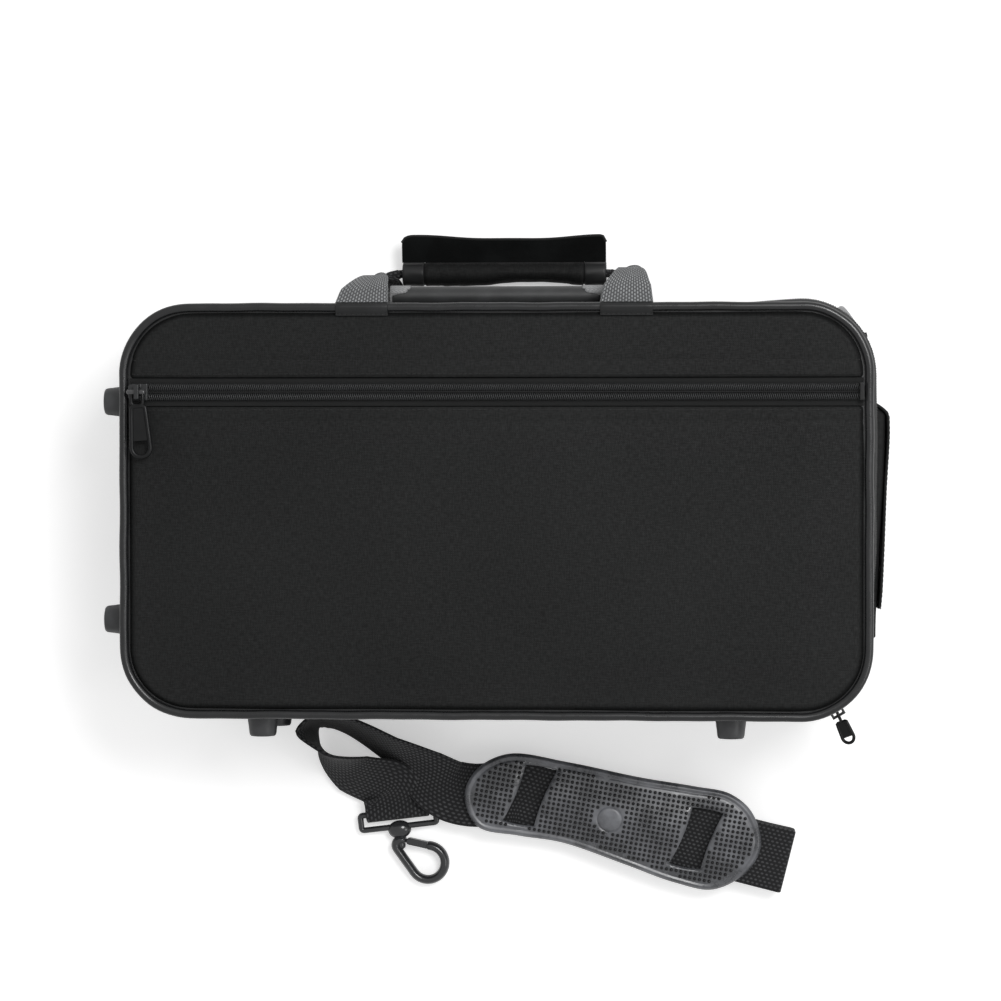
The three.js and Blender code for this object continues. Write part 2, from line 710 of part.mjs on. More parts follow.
function makeDRings() {
  for (const [place, side] of [['right', 1], ['left', -1]]) {
    const angle = THREE.MathUtils.degToRad(side > 0 ? ringTabAngle : 180 - ringTabAngle);
    const out = vec(Math.cos(angle), Math.sin(angle), 0);
    const along = vec(-side * out.y, side * out.x, 0);
    const foot = vec(side * cornerX, cornerY, ringHeight).addScaledVector(out, cornerRadius + seamGap);
    const eye = foot.clone().addScaledVector(out, tabStandoff);
    const ring = addPiece(`d_ring_${place}`, wireRing(ringPath(), along, vec(0, 0, 1), ringWire), steelGrey);
    ring.position.copy(eye);
    const tab = new THREE.Shape();
    const loop = ringWire + tabClearance + webbingThickness;
    tab.moveTo(-tabTail, 0);
    tab.lineTo(loop, 0);
    tab.lineTo(loop, tabStandoff);
    tab.absarc(0, tabStandoff, loop, 0, 0.75 * Math.PI, false);
    tab.lineTo(-tabTail, webbingThickness);
    tab.closePath();
    const hole = new THREE.Path();
    hole.absarc(0, tabStandoff, ringWire + tabClearance, 0, 2 * Math.PI, true);
    tab.holes.push(hole);
    const piece = addPiece(`d_ring_tab_${place}`, slab(tab, -tabWidth / 2, tabWidth / 2, 8), webbingGrey);
    const handed = side > 0 ? vec(0, 0, 1) : vec(0, 0, -1);
    piece.quaternion.setFromRotationMatrix(new THREE.Matrix4().makeBasis(along.clone().negate(), out, handed));
    piece.position.copy(foot);
  }
}

const hookAxis = floorGap + hookThickness / 2;
const slotTurn = hookAxis - floorGap - webbingThickness / 2;
const stackTop = floorGap + hookThickness;
const topLayer = stackTop + hookRoom + keeperHeight + layerGap + webbingThickness / 2;
const padUnderside = topLayer + webbingThickness / 2 + layerGap;
const lowLayer = floorGap + foldDip + webbingThickness / 2;

// A point of the strap's run under the pad, from the middle of the pad.
function padPoint(x, y, z) {
  const up = vec(0, 0, 1);
  const inPad = vec(x, y, z).applyAxisAngle(up, THREE.MathUtils.degToRad(padStrapTurn));
  inPad.y += padStrapOffset;
  return inPad.applyAxisAngle(up, THREE.MathUtils.degToRad(padTurn)).add(vec(padX, padY, 0));
}

// A point of the strap's last run, which is turned a little about its last fold.
function tailPoint(x, y, z) {
  const turned = vec(x - foldReach, y, 0).applyAxisAngle(vec(0, 0, 1), THREE.MathUtils.degToRad(tailTurn));
  return padPoint(foldReach + turned.x, turned.y, z);
}

// The strap's free loop, in widths of the strap from the first hook's crossbar: place, then the
// direction across the strap. It stands on its edge where it turns.
const loopShares = [
  [-0.1, 0.4, 0.12, 1, 0.05, 0],
  [-0.68, 0.64, 0.2, 0.6, 0.5, 0.6],
  [-1.15, 1.02, 0.36, 0.1, 0.1, 1],
  [-1.34, 1.36, 0.39, -0.3, 0, 0.95],
  [-1.15, 1.49, 0.4, -0.1, 0.3, 0.95],
  [-0.76, 1.42, 0.4, 0.05, 0.35, 0.93],
  [-0.08, 1.05, 0.36, 0.2, 0.46, 0.87],
  [0.45, 0.68, 0.29, 0.31, 0.7, 0.5],
  [0.85, 0.38, 0.17, 0.3, 0.85, 0.08],
];

// A half turn of the strap, from low to high: how far out, and how high.
function halfTurn(radius, middle) {
  return [-90, -45, 0, 45, 90].map((degrees) => {
    const angle = THREE.MathUtils.degToRad(degrees);
    return [radius * Math.cos(angle), middle + radius * Math.sin(angle)];
  });
}

function makeStrap() {
  const up = vec(0, 0, 1);
  const hookTurn = THREE.MathUtils.degToRad(firstHookTurn + 90);
  const cross = vec(1, 0, 0).applyAxisAngle(up, hookTurn);
  const barPoint = (y, z) => vec(0, y, z).applyAxisAngle(up, hookTurn).add(vec(firstHookX, firstHookY, 0));
  const loopPoint = (x, y, z) => vec(firstHookX + x, firstHookY + y, z);
  const padAcross = padPoint(0, 1, 0).sub(padPoint(0, 0, 0));
  const tailAcross = tailPoint(0, 1, 0).sub(tailPoint(0, 0, 0));
  const run = (x, z) => ({ at: padPoint(x, 0, z), across: padAcross });
  const tailRun = (x, z) => ({ at: tailPoint(x, 0, z), across: tailAcross });
  const tail = crossbarLength / 3;
  const turns = [foldReach, foldReturn, foldReach, foldReturn, foldReach];
  const pitch = (topLayer - lowLayer) / turns.length;
  const fold = (x, z, way) => [run(x - way * pitch, z),
    ...halfTurn(pitch / 2, z - pitch / 2).reverse().map(([out, height]) => run(x + way * out, height)),
    run(x - way * pitch, z - pitch)];
  const folds = turns.flatMap((x, i) => fold(x, topLayer - i * pitch, i % 2 ? -1 : 1));
  const hookX = foldReturn - crossbarBar - crossbarSlot - 2 * slotTurn;
  const stations = [
    { at: barPoint(tail, lowLayer), across: cross },
    ...halfTurn(slotTurn, hookAxis).map(([back, z]) => ({ at: barPoint(-back, z), across: cross })),
    { at: barPoint(2 * crossbarBar, hookAxis + slotTurn), across: cross },
    ...loopShares.map(([x, y, z, a, b, c]) => ({
      at: loopPoint(x * strapWidth, y * strapWidth, hookAxis + slotTurn + z * strapWidth), across: vec(a, b, c) })),
    { at: padPoint(entryInset - padLength / 2, -entrySide, topLayer), across: padAcross },
    run(-padLength / 3, topLayer),
    run(-padLength / 4, topLayer),
    run(0, topLayer),
    ...folds.slice(0, -1),
    tailRun(foldReach - pitch, lowLayer),
    tailRun(hookX + 2 * crossbarBar, hookAxis - slotTurn),
    ...halfTurn(slotTurn, hookAxis).map(([back, z]) => tailRun(hookX - back, z)),
    tailRun(hookX + crossbarBar, hookAxis + slotTurn),
  ].map((s) => ({ ...s, width: strapWidth, thick: webbingThickness }));
  addPiece('strap_webbing', ribbon(stations, 3 * (stations.length - 1)), webbingGrey);
  makeHook('first', barPoint(0, hookAxis), firstHookTurn);
  makeHook('second', tailPoint(hookX, 0, hookAxis), padTurn + padStrapTurn + tailTurn - 180).rotateX(Math.PI);
}

// An outline round two circles on the x axis, the first at the origin.
function teardrop(Kind, start, reach, r1, r2) {
  const lean = Math.acos((r1 - r2) / reach);
  const shape = new Kind();
  shape.absarc(start, 0, r1, lean, 2 * Math.PI - lean, false);
  shape.absarc(start + reach, 0, r2, -lean, lean, false);
  shape.closePath();
  return shape;
}

// A hook along its own x axis, its ring leaning to one side. The webbing turns round the near bar of
// its crossbar, which is at x = 0.
function makeHook(name, at, turnDegrees) {
  const group = new THREE.Group();
  group.position.copy(at);
  group.rotation.z = THREE.MathUtils.degToRad(turnDegrees);
  clarinetCase.add(group);
  const near = -crossbarBar / 2;
  const slotStart = crossbarBar / 2;
  const slotEnd = slotStart + crossbarSlot;
  const barEnd = slotEnd + crossbarBar;
  const collarEnd = barEnd + collarLength;
  const halfBar = crossbarLength / 2;
  const halfThick = crossbarThickness / 2;
  const halfHook = hookThickness / 2;
  const halfSlot = halfBar - crossbarBar;
  const frame = cut(
    join(box(near, barEnd, -halfBar, halfBar, -halfThick, halfThick),
      box(slotEnd, collarEnd, -collarWidth / 2, collarWidth / 2, -halfHook, halfHook)),
    box(slotStart, slotEnd, -halfSlot, halfSlot, -halfHook, halfHook),
    rodX(slotStart, collarEnd + overrun, 0, 0, stemRadius + stemClearance, stemRadius + stemClearance, 16),
  );
  addPiece(`strap_hook_${name}_crossbar`, frame, plasticBlack, group);
  const neckX = collarEnd + stemClearance + hookNeckRadius;
  const outline = teardrop(THREE.Shape, 0, hookReach, hookNeckRadius, hookEndRadius);
  const eye = teardrop(THREE.Path, hookBar / 2, hookReach - hookBar / 2, eyeNeckShare * hookNeckRadius,
    hookEndRadius - hookBar);
  outline.holes.push(eye);
  const headStart = slotEnd - stemClearance - stemHead;
  const lean = Math.acos((hookNeckRadius - hookEndRadius) / hookReach);
  const edge = new THREE.Vector2(hookReach + (hookEndRadius - hookNeckRadius) * Math.cos(lean),
    (hookEndRadius - hookNeckRadius) * Math.sin(lean));
  const edgeStart = new THREE.Vector2(hookNeckRadius * Math.cos(lean), hookNeckRadius * Math.sin(lean));
  const edgeLength = edge.length();
  const gateStart = gateStartShare * edgeLength;
  const gateEnd = gateEndShare * edgeLength;
  const inside = -hookBar / 2;
  const place = (geometry) => geometry.rotateZ(Math.atan2(edge.y, edge.x)).translate(edgeStart.x, edgeStart.y, 0);
  const bend = (geometry) => geometry.rotateZ(THREE.MathUtils.degToRad(hookLean)).translate(neckX, 0, 0);
  const opening = place(box(gateStart, gateEnd, -hookBar - overrun, overrun, -hookThickness, hookThickness));
  const ring = bend(cut(slab(outline, -halfHook, halfHook, 8), opening));
  const stem = rodX(headStart, neckX, 0, 0, stemRadius, stemRadius, 14);
  const head = rodX(headStart, headStart + stemHead, 0, 0, halfHook - stemClearance, halfHook - stemClearance, 14);
  addPiece(`strap_hook_${name}`, join(ring, stem, head), plasticBlack, group);
  const gateShape = new THREE.Shape();
  const pivot = gateStart + layerGap + gateBar / 2;
  gateShape.absarc(pivot, inside, gateBar / 2, Math.PI / 2, 1.5 * Math.PI, false);
  gateShape.lineTo(gateEnd - layerGap, inside - gateBar / 2);
  gateShape.lineTo(gateEnd - layerGap, inside + gateBar / 2);
  gateShape.closePath();
  const gate = bend(place(slab(gateShape, -gateThickness / 2, gateThickness / 2, 5)));
  addPiece(`strap_hook_${name}_gate`, gate, plasticBlack, group);
  return group;
}

// Outline of the shoulder pad in halves of its length and width, from its left end clockwise.
const padOutlineShares = [
  [-1, 0], [-0.95, 0.55], [-0.76, 0.97], [-0.36, 1.02], [0.14, 0.98], [0.5, 1], [0.74, 0.98], [0.9, 0.7],
  [1, 0.1], [0.94, -0.5], [0.74, -0.98], [0.48, -0.98], [0.14, -0.8], [-0.3, -0.6], [-0.6, -0.62], [-0.88, -0.58],
];

// A slot that leans and has bowed sides, centred where the strap crosses it.
function padSlot(x) {
  const slot = new THREE.Path();
  const halfX = padSlotLength / 2;
  const halfY = padSlotWidth / 2;
  const lean = padSlotLean / 2;
  const y = padStrapOffset + x * Math.tan(THREE.MathUtils.degToRad(padStrapTurn));
  slot.moveTo(x - halfX - lean, y - halfY);
  slot.quadraticCurveTo(x - lean, y - halfY - padEdge, x + halfX - lean, y - halfY);
  slot.quadraticCurveTo(x + halfX + padEdge, y, x + halfX + lean, y + halfY);
  slot.quadraticCurveTo(x + lean, y + halfY + padEdge, x - halfX + lean, y + halfY);
  slot.quadraticCurveTo(x - halfX - padEdge, y, x - halfX - lean, y - halfY);
  return slot;
}

function makePad() {
  const shares = padOutlineShares.map(([x, y]) => vec((x * padLength) / 2, (y * padWidth) / 2, 0));
  const outline = new THREE.CatmullRomCurve3(shares, true).getPoints(40).slice(0, -1);
  const shape = new THREE.Shape(outline.map((p) => new THREE.Vector2(p.x, p.y)));
  const slotX = (padSlotShare * padLength) / 2;
  shape.holes.push(padSlot(-slotX), padSlot(slotX));
  const plate = slab(shape, padUnderside, padUnderside + padThickness, 3);
  const inner = strapWidth / 2 + layerGap;
  const outer = inner + keeperHeight;
  const keeperBottom = stackTop + hookRoom;
  const keepers = [-1, 1].map((side) => {
    const x = (side * keeperShare * padLength) / 2;
    const [x0, x1] = [x - keeperWidth / 2, x + keeperWidth / 2];
    const keeper = cut(box(x0, x1, -outer, outer, keeperBottom, padUnderside + padEdge),
      box(x0 - overrun, x1 + overrun, -inner, inner, keeperBottom + keeperHeight, padUnderside));
    return keeper.rotateZ(THREE.MathUtils.degToRad(padStrapTurn)).translate(0, padStrapOffset, 0);
  });
  const pad = addPiece('shoulder_pad', join(plate, ...keepers), rubberGrey);
  pad.rotation.z = THREE.MathUtils.degToRad(padTurn);
  pad.position.set(padX, padY, 0);
}

makeBaseShell();
makeLidShell();
const frontTop = makePanelsAndPiping();
makeMainZip();
makeHingeTapes();
makeInsert();
makeFeet();
makePocketZip(frontTop);
makeMainSlider();
makeFrontHandle(frontTop);
makeBackHandle();
makeEndPouch();
makeDRings();
makeStrap();
makePad();

export default clarinetCase;
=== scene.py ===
import math

import bmesh
import bpy
import numpy as np
from mathutils import Matrix, Vector
from mathutils.geometry import delaunay_2d_cdt


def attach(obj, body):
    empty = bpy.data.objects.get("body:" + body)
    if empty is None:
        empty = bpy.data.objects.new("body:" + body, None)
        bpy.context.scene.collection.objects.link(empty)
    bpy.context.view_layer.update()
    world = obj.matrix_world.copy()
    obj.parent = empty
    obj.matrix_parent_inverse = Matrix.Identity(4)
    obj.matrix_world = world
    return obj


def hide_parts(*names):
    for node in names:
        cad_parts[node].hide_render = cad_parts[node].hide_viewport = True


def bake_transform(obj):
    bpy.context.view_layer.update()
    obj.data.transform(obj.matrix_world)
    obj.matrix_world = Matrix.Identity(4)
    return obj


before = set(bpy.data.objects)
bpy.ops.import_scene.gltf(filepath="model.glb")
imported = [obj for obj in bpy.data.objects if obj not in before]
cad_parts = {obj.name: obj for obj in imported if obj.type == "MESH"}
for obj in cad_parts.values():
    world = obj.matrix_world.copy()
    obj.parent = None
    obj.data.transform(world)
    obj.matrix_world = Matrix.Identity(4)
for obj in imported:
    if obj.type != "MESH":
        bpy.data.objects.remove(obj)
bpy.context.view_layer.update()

# Lengths are in millimetres until a mesh is made; the scene is in metres.
MM = 0.001
HALF_LENGTH, HALF_WIDTH, CORNER = 189.0, 103.5, 34.0
CORNER_X, CORNER_Y = HALF_LENGTH - CORNER, HALF_WIDTH - CORNER
PROUD = 0.3
END_WALL, SIDE_WALL = HALF_LENGTH + PROUD, HALF_WIDTH + PROUD
BASE_RIM, LID_RIM = 59.85, 60.15
SWELL_FOOT, SWELL_HEIGHT = 4.7, 91.0
PIPING, BACK_AXIS, FRONT_AXIS = 2.2, 2.2, 98.2
PANEL_TOP, PANEL_END, PANEL_INSET = 99.4, 101.0, 2.5
POCKET_LINE, POCKET_HALF = 60.5, 7.5
FOLD_UP, FOLD_DOWN = POCKET_LINE + POCKET_HALF, POCKET_LINE - POCKET_HALF
STITCH_UP, STITCH_DOWN = FOLD_UP + 8.5, FOLD_DOWN - 7.6
LEG_X, GRIP_HALF = 67.0, 54.5
STRAP_WIDTH, WEBBING = 34.0, 1.8


def place_camera():
    """The camera stands almost straight above the case's front panel."""
    eye, aim = Vector((95.06, 31.73, 1596.98)) * MM, Vector((3.5, 5.6, 100.0)) * MM
    ahead = (aim - eye).normalized()
    right = ahead.cross(Vector((0, 1, 0))).normalized()
    camera = bpy.data.objects.new("camera", bpy.data.cameras.new("camera"))
    bpy.context.scene.collection.objects.link(camera)
    turn = Matrix((right, right.cross(ahead), -ahead)).transposed()
    camera.matrix_world = Matrix.Translation(eye) @ turn.to_4x4()
    camera.data.sensor_width, camera.data.lens = 36, 106.8
    camera.data.clip_start, camera.data.clip_end = 0.05, 20
    bpy.context.scene.camera = camera


place_camera()


# Node trees

class Field:
    """One output of a node. Fields add, multiply and so on, so that a tree reads as a formula."""

    def __init__(self, tree, node, key=0):
        self.tree, self.node, self.key = tree, node, key

    def __getitem__(self, key):
        return Field(self.tree, self.node, key)

    def __add__(self, other):
        return self.maths("ADD", other)

    def __sub__(self, other):
        return self.maths("SUBTRACT", other)

    def __mul__(self, other):
        return self.maths("MULTIPLY", other)

    def __truediv__(self, other):
        return self.maths("DIVIDE", other)

    def maths(self, operation, *others):
        return add(self.tree, "ShaderNodeMath", dict(enumerate((self, *others))), operation=operation)

    def wave(self, pitch):
        """A sine whose full turn is one pitch."""
        return (self * (2 * math.pi / pitch)).maths("SINE")

    def parts(self):
        split = add(self.tree, "ShaderNodeSeparateXYZ", {0: self})
        return [split[i] for i in range(3)]

    def spread(self, low, high, out_low=0.0, out_high=1.0):
        """The value carried from one range to another, and held to it."""
        sockets = {"Value": self, "From Min": low, "From Max": high, "To Min": out_low, "To Max": out_high}
        return add(self.tree, "ShaderNodeMapRange", sockets, clamp=True)

    def stretch(self, scale, turn=(0, 0, 0)):
        return add(self.tree, "ShaderNodeMapping", {"Vector": self, "Scale": scale, "Rotation": turn})

    def noise(self, scale, detail=3.0, rough=0.5):
        sockets = {"Vector": self, "Scale": scale, "Detail": detail, "Roughness": rough}
        return add(self.tree, "ShaderNodeTexNoise", sockets)


def plug(socket, value):
    """Links another node's output to a socket, or sets the socket to a number or a colour."""
    if isinstance(value, Field):
        value.tree.links.new(value.node.outputs[value.key], socket)
    else:
        socket.default_value = value


def add(tree, kind, sockets=(), **settings):
    """A node with its settings and its sockets."""
    node = tree.nodes.new(kind)
    for key, value in settings.items():
        setattr(node, key, value)
    for key, value in dict(sockets).items():
        plug(node.inputs[key], value)
    return Field(tree, node)


def start_tree(name, *sizes):
    """A geometry tree with named inputs for its sizes and its finish."""
    tree = bpy.data.node_groups.new(name, "GeometryNodeTree")
    tree.interface.new_socket("Geometry", in_out="OUTPUT", socket_type="NodeSocketGeometry")
    kinds = {"Geometry": "Geometry", "Section": "Object", "Sides": "Int", "Finish": "Material"}
    for label in ("Geometry", *sizes, "Finish"):
        tree.interface.new_socket(label, in_out="INPUT", socket_type="NodeSocket" + kinds.get(label, "Float"))
    return tree, add(tree, "NodeGroupInput")


def close_tree(tree, given, geometry):
    smooth = add(tree, "GeometryNodeSetShadeSmooth", {"Geometry": geometry})
    whole = add(tree, "GeometryNodeRealizeInstances", {"Geometry": smooth})
    finish = add(tree, "GeometryNodeSetMaterial", {"Geometry": whole, "Material": given["Finish"]})
    add(tree, "NodeGroupOutput", {"Geometry": finish})
    return tree


def named(tree, name, kind="FLOAT"):
    return add(tree, "GeometryNodeInputNamedAttribute", {"Name": name}, data_type=kind)


def carry(tree, line, mode, profile):
    """A profile carried along a line."""
    line = add(tree, "GeometryNodeMeshToCurve", {"Mesh": line})
    level = add(tree, "GeometryNodeSetCurveNormal", {"Curve": line}, mode=mode)
    return add(tree, "GeometryNodeCurveToMesh", {"Curve": level, "Profile Curve": profile, "Fill Caps": True})


def cord_tree():
    """A round cord or wire that follows a line."""
    tree, given = start_tree("cord along a line", "Radius", "Sides")
    sizes = {"Resolution": given["Sides"], "Radius": given["Radius"]}
    ring = add(tree, "GeometryNodeCurvePrimitiveCircle", sizes)
    return close_tree(tree, given, carry(tree, given["Geometry"], "MINIMUM_TWIST", ring))


def gusset_tree():
    """A section carried round the case, whose outer face swells between its seams: most above the zip."""
    tree, given = start_tree("gusset round the case", "Section", "Bottom", "Height")
    held = add(tree, "GeometryNodeObjectInfo", {"Object": given["Section"]})
    section = add(tree, "GeometryNodeMeshToCurve", {"Mesh": held["Geometry"]})
    wall = carry(tree, given["Geometry"], "Z_UP", section)
    height = add(tree, "GeometryNodeInputPosition").parts()[2]
    rise = ((height - given["Bottom"]) / given["Height"]).maths("MAXIMUM", 0.0).maths("MINIMUM", 1.0)
    swell = (rise.maths("POWER", 2.0) * math.pi).maths("SINE") * (named(tree, "swell") * named(tree, "outer"))
    sockets = {0: named(tree, "out", "FLOAT_VECTOR"), "Scale": swell}
    push = add(tree, "ShaderNodeVectorMath", sockets, operation="SCALE")
    return close_tree(tree, given, add(tree, "GeometryNodeSetPosition", {"Geometry": wall, "Offset": push}))


def set_out(tree, points, segments_rings, facing, size):
    """A small ball, stretched and turned, at each point."""
    ball = add(tree, "GeometryNodeMeshUVSphere", {"Segments": segments_rings[0], "Rings": segments_rings[1],
                                                 "Radius": 0.5})
    size = add(tree, "ShaderNodeCombineXYZ", dict(enumerate(size)))
    return add(tree, "GeometryNodeInstanceOnPoints", {"Points": points, "Instance": ball, "Rotation": facing,
                                                     "Scale": size})


def bead_tree():
    """Beads at an even pitch along lines, each turned by the line's slant: coil teeth, or stitches."""
    tree, given = start_tree("beads along a line", "Pitch", "Along", "Across", "Height")
    line = add(tree, "GeometryNodeMeshToCurve", {"Mesh": given["Geometry"]})
    even = add(tree, "GeometryNodeResampleCurve", {"Curve": line, "Length": given["Pitch"]}, mode="LENGTH")
    facing = add(tree, "FunctionNodeAxesToRotation", {0: named(tree, "up", "FLOAT_VECTOR"),
                                                     1: add(tree, "GeometryNodeInputTangent")},
                 primary_axis="Z", secondary_axis="X")
    turn = add(tree, "FunctionNodeAxisAngleToRotation", {"Axis": (0, 0, 1), "Angle": named(tree, "slant")})
    facing = add(tree, "FunctionNodeRotateRotation", {0: facing, 1: turn}, rotation_space="LOCAL")
    size = (given["Along"], given["Across"], given["Height"])
    return close_tree(tree, given, set_out(tree, even, (8, 4), facing, size))


def nub_tree():
    """Round nubs on points, each standing along the point's own direction."""
    tree, given = start_tree("nubs on the shoulder pad", "Width", "Height")
    up = named(tree, "up", "FLOAT_VECTOR")
    facing = add(tree, "FunctionNodeAlignRotationToVector", {"Vector": up}, axis="Z")
    size = (given["Width"], given["Width"], given["Height"])
    return close_tree(tree, given, set_out(tree, given["Geometry"], (8, 5), facing, size))


# Meshes

def link_mesh(name, mesh):
    piece = bpy.data.objects.new(name, mesh)
    bpy.context.scene.collection.objects.link(piece)
    return piece


def new_piece(name, points, edges, faces):
    mesh = bpy.data.meshes.new(name)
    mesh.from_pydata((np.reshape(points, (-1, 3)) * MM).tolist(), edges, faces)
    return link_mesh(name, mesh)


def shade(piece, finish, degrees=38):
    """Outward faces, smooth shading that breaks at hard edges, and the finish."""
    shape = bmesh.new()
    shape.from_mesh(piece.data)
    bmesh.ops.recalc_face_normals(shape, faces=shape.faces)
    shape.to_mesh(piece.data)
    shape.free()
    piece.data.polygons.foreach_set("use_smooth", [True] * len(piece.data.polygons))
    piece.data.set_sharp_from_angle(angle=math.radians(degrees))
    piece.data.materials.clear()
    piece.data.materials.append(finish)
    return piece


def set_cut(piece, flat):
    """Writes the piece's UV map, which is in metres."""
    layers = piece.data.uv_layers
    layer = layers.get("cut") or layers.new(name="cut")
    layer.data.foreach_set("uv", np.ravel(flat))
    return piece


def lay_flat(piece):
    """A UV map laid on each face from the side that it faces most."""
    mesh = piece.data
    places = np.array([v.co for v in mesh.vertices])
    flat = np.zeros((len(mesh.loops), 2))
    for face in mesh.polygons:
        keep = np.delete([0, 1, 2], np.argmax(np.abs(face.normal)))
        flat[list(face.loop_indices)] = places[list(face.vertices)][:, keep]
    return set_cut(piece, flat)


def cells(grid):
    """The four corners of each cell of a grid, in turn."""
    corners = [grid[:-1, :-1], grid[:-1, 1:], grid[1:, 1:], grid[1:, :-1]]
    return np.stack(corners, 2).reshape(-1, 4, *grid.shape[2:])


def skin(name, rings, finish, loop=False, degrees=38):
    """A closed piece through rings of points, with a UV map. A loop's last ring meets its first."""
    grid = np.asarray(rings, float)
    index = np.arange(grid.size // 3).reshape(grid.shape[:2])
    index = np.pad(index, ((0, int(loop)), (0, 1)), "wrap")
    full = grid.reshape(-1, 3)[index]
    across = np.append(0, np.cumsum(np.linalg.norm(np.diff(full, axis=1), axis=2).max(0)))
    along = np.append(0, np.cumsum(np.linalg.norm(np.diff(full, axis=0), axis=2).mean(1)))
    faces, flat = cells(index).tolist(), [*cells(np.stack(np.meshgrid(across, along), 2)).reshape(-1, 2)]
    for r, way in () if loop else ((0, -1), (-1, 1)):
        faces.append(index[r, :-1][::way].tolist())
        middle = grid[r] - grid[r].mean(0)
        axes = np.linalg.svd(middle, full_matrices=False)[2][:2]
        flat += [*(middle @ axes.T)[::way]]
    return shade(set_cut(new_piece(name, grid, [], faces), np.array(flat) * MM), finish, degrees)


def joined(name, *pieces):
    """Several pieces as one, with the first one's finishes."""
    bpy.ops.object.select_all(action="DESELECT")
    for piece in pieces:
        piece.select_set(True)
    bpy.context.view_layer.objects.active = pieces[0]
    bpy.ops.object.join()
    pieces[0].name = name
    return pieces[0]


def plain(piece):
    """The piece's evaluated shape as its own mesh, with its modifiers gone."""
    graph = bpy.context.evaluated_depsgraph_get()
    shape = piece.evaluated_get(graph)
    mesh = bpy.data.meshes.new_from_object(shape, preserve_all_data_layers=True, depsgraph=graph)
    piece.modifiers.clear()
    old, piece.data = piece.data, mesh
    bpy.data.meshes.remove(old)
    return piece


def grow(piece, tree, finish, **sizes):
    """Runs a geometry tree on a piece, its inputs set by identifier, and keeps the result as its mesh."""
    modifier = piece.modifiers.new(tree.name, "NODES")
    modifier.node_group = tree
    sizes["Finish"] = finish
    for socket in tree.interface.items_tree:
        if socket.in_out == "INPUT" and socket.name in sizes:
            modifier[socket.identifier] = sizes[socket.name]
    return plain(piece)


def lines(name, runs, closed=False, **values):
    """A mesh of lines only, through runs of points; values hold a number or a vector for each point."""
    edges, first = [], 0
    for run in runs:
        count = len(run)
        edges += [(first + i, first + (i + 1) % count) for i in range(count if closed else count - 1)]
        first += count
    piece = new_piece(name, np.concatenate(runs), edges, [])
    for key, data in values.items():
        data = np.asarray(data, float)
        kind, field = ("FLOAT_VECTOR", "vector") if data.ndim == 2 else ("FLOAT", "value")
        piece.data.attributes.new(key, kind, "POINT").data.foreach_set(field, data.ravel())
    return piece


def cord(name, points, radius, finish, sides=12, closed=True, degrees=80):
    """A round cord or wire through points."""
    path = lines(name, [points], closed)
    return shade(grow(path, CORD, finish, Radius=radius * MM, Sides=sides), finish, degrees)


def beads(name, runs, ups, finish, sizes, slants=(0, 0, 0, 0)):
    """Beads along runs of points, standing along ups; sizes are their pitch, and along, across and height."""
    up = np.concatenate([np.broadcast_to(u, np.shape(run)) for run, u in zip(runs, ups)])
    slant = np.concatenate([np.full(len(run), s) for run, s in zip(runs, slants)])
    pitch, along, across, height = np.array(sizes) * MM
    path = lines(name, runs, up=up, slant=slant)
    return grow(path, BEADS, finish, Pitch=pitch, Along=along, Across=across, Height=height)


def arc_lengths(points, closed):
    points = np.asarray(points, float)
    steps = np.diff(np.concatenate([points, points[:1]]) if closed else points, axis=0)
    return np.append(0, np.cumsum(np.linalg.norm(steps, axis=1)))


def lay_along(piece, totals):
    """A UV map from a swept piece's lengths along and round it, with the seam's faces carried past the end."""
    mesh = piece.data
    flat = np.zeros((len(mesh.loops), 2))
    for i, (key, total) in enumerate(zip(("along", "round"), totals)):
        data = np.zeros(len(mesh.vertices))
        mesh.attributes[key].data.foreach_get("value", data)
        for face in mesh.polygons:
            here = data[list(face.vertices)]
            if np.ptp(here) > total / 2:
                here = np.where(here < total / 2, here + total, here)
            flat[list(face.loop_indices), i] = here * MM
    return set_cut(piece, flat)


def moulded(name, node, finish, voxel, passes, swell=0.0):
    """A moulded or padded piece on a CAD node's shape: its edges are rounded, its faces swell a little."""
    piece = link_mesh(name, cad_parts[node].data.copy())
    shape = bmesh.new()
    shape.from_mesh(piece.data)
    bmesh.ops.remove_doubles(shape, verts=shape.verts, dist=1e-6)
    shape.to_mesh(piece.data)
    shape.free()
    remesh = piece.modifiers.new("round", "REMESH")
    remesh.mode, remesh.voxel_size = "VOXEL", voxel * MM
    ease = piece.modifiers.new("ease", "SMOOTH")
    ease.factor, ease.iterations = 0.5, passes
    plain(piece)
    if swell:
        for vertex in piece.data.vertices:
            vertex.co += vertex.normal * swell * MM
    return lay_flat(shade(piece, finish, 60))


def smoothstep(low, high, value):
    share = np.clip((np.asarray(value, float) - low) / (high - low), 0, 1)
    return share * share * (3 - 2 * share)


def turned(x, y, degrees):
    a = math.radians(degrees)
    return np.array([x * math.cos(a) - y * math.sin(a), x * math.sin(a) + y * math.cos(a)])


def circle(count):
    return np.linspace(0, 2 * math.pi, count, endpoint=False)


def arc_points(x, y, radius, start, end, count):
    angles = np.radians(np.linspace(start, end, count))
    return [(x + radius * math.cos(a), y + radius * math.sin(a)) for a in angles]


def rounded_box(x0, x1, y0, y1, radius, count):
    corners = [(x1 - radius, y1 - radius), (x0 + radius, y1 - radius), (x0 + radius, y0 + radius),
               (x1 - radius, y0 + radius)]
    return [p for i, (x, y) in enumerate(corners) for p in arc_points(x, y, radius, 90 * i, 90 * i + 90, count)]


def fit(piece, body, slot, *nodes):
    """The piece rides on its body and stands for its CAD nodes, which are hidden. The slot is not used."""
    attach(piece, body)
    if nodes:
        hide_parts(*nodes)
    return piece


# Finishes

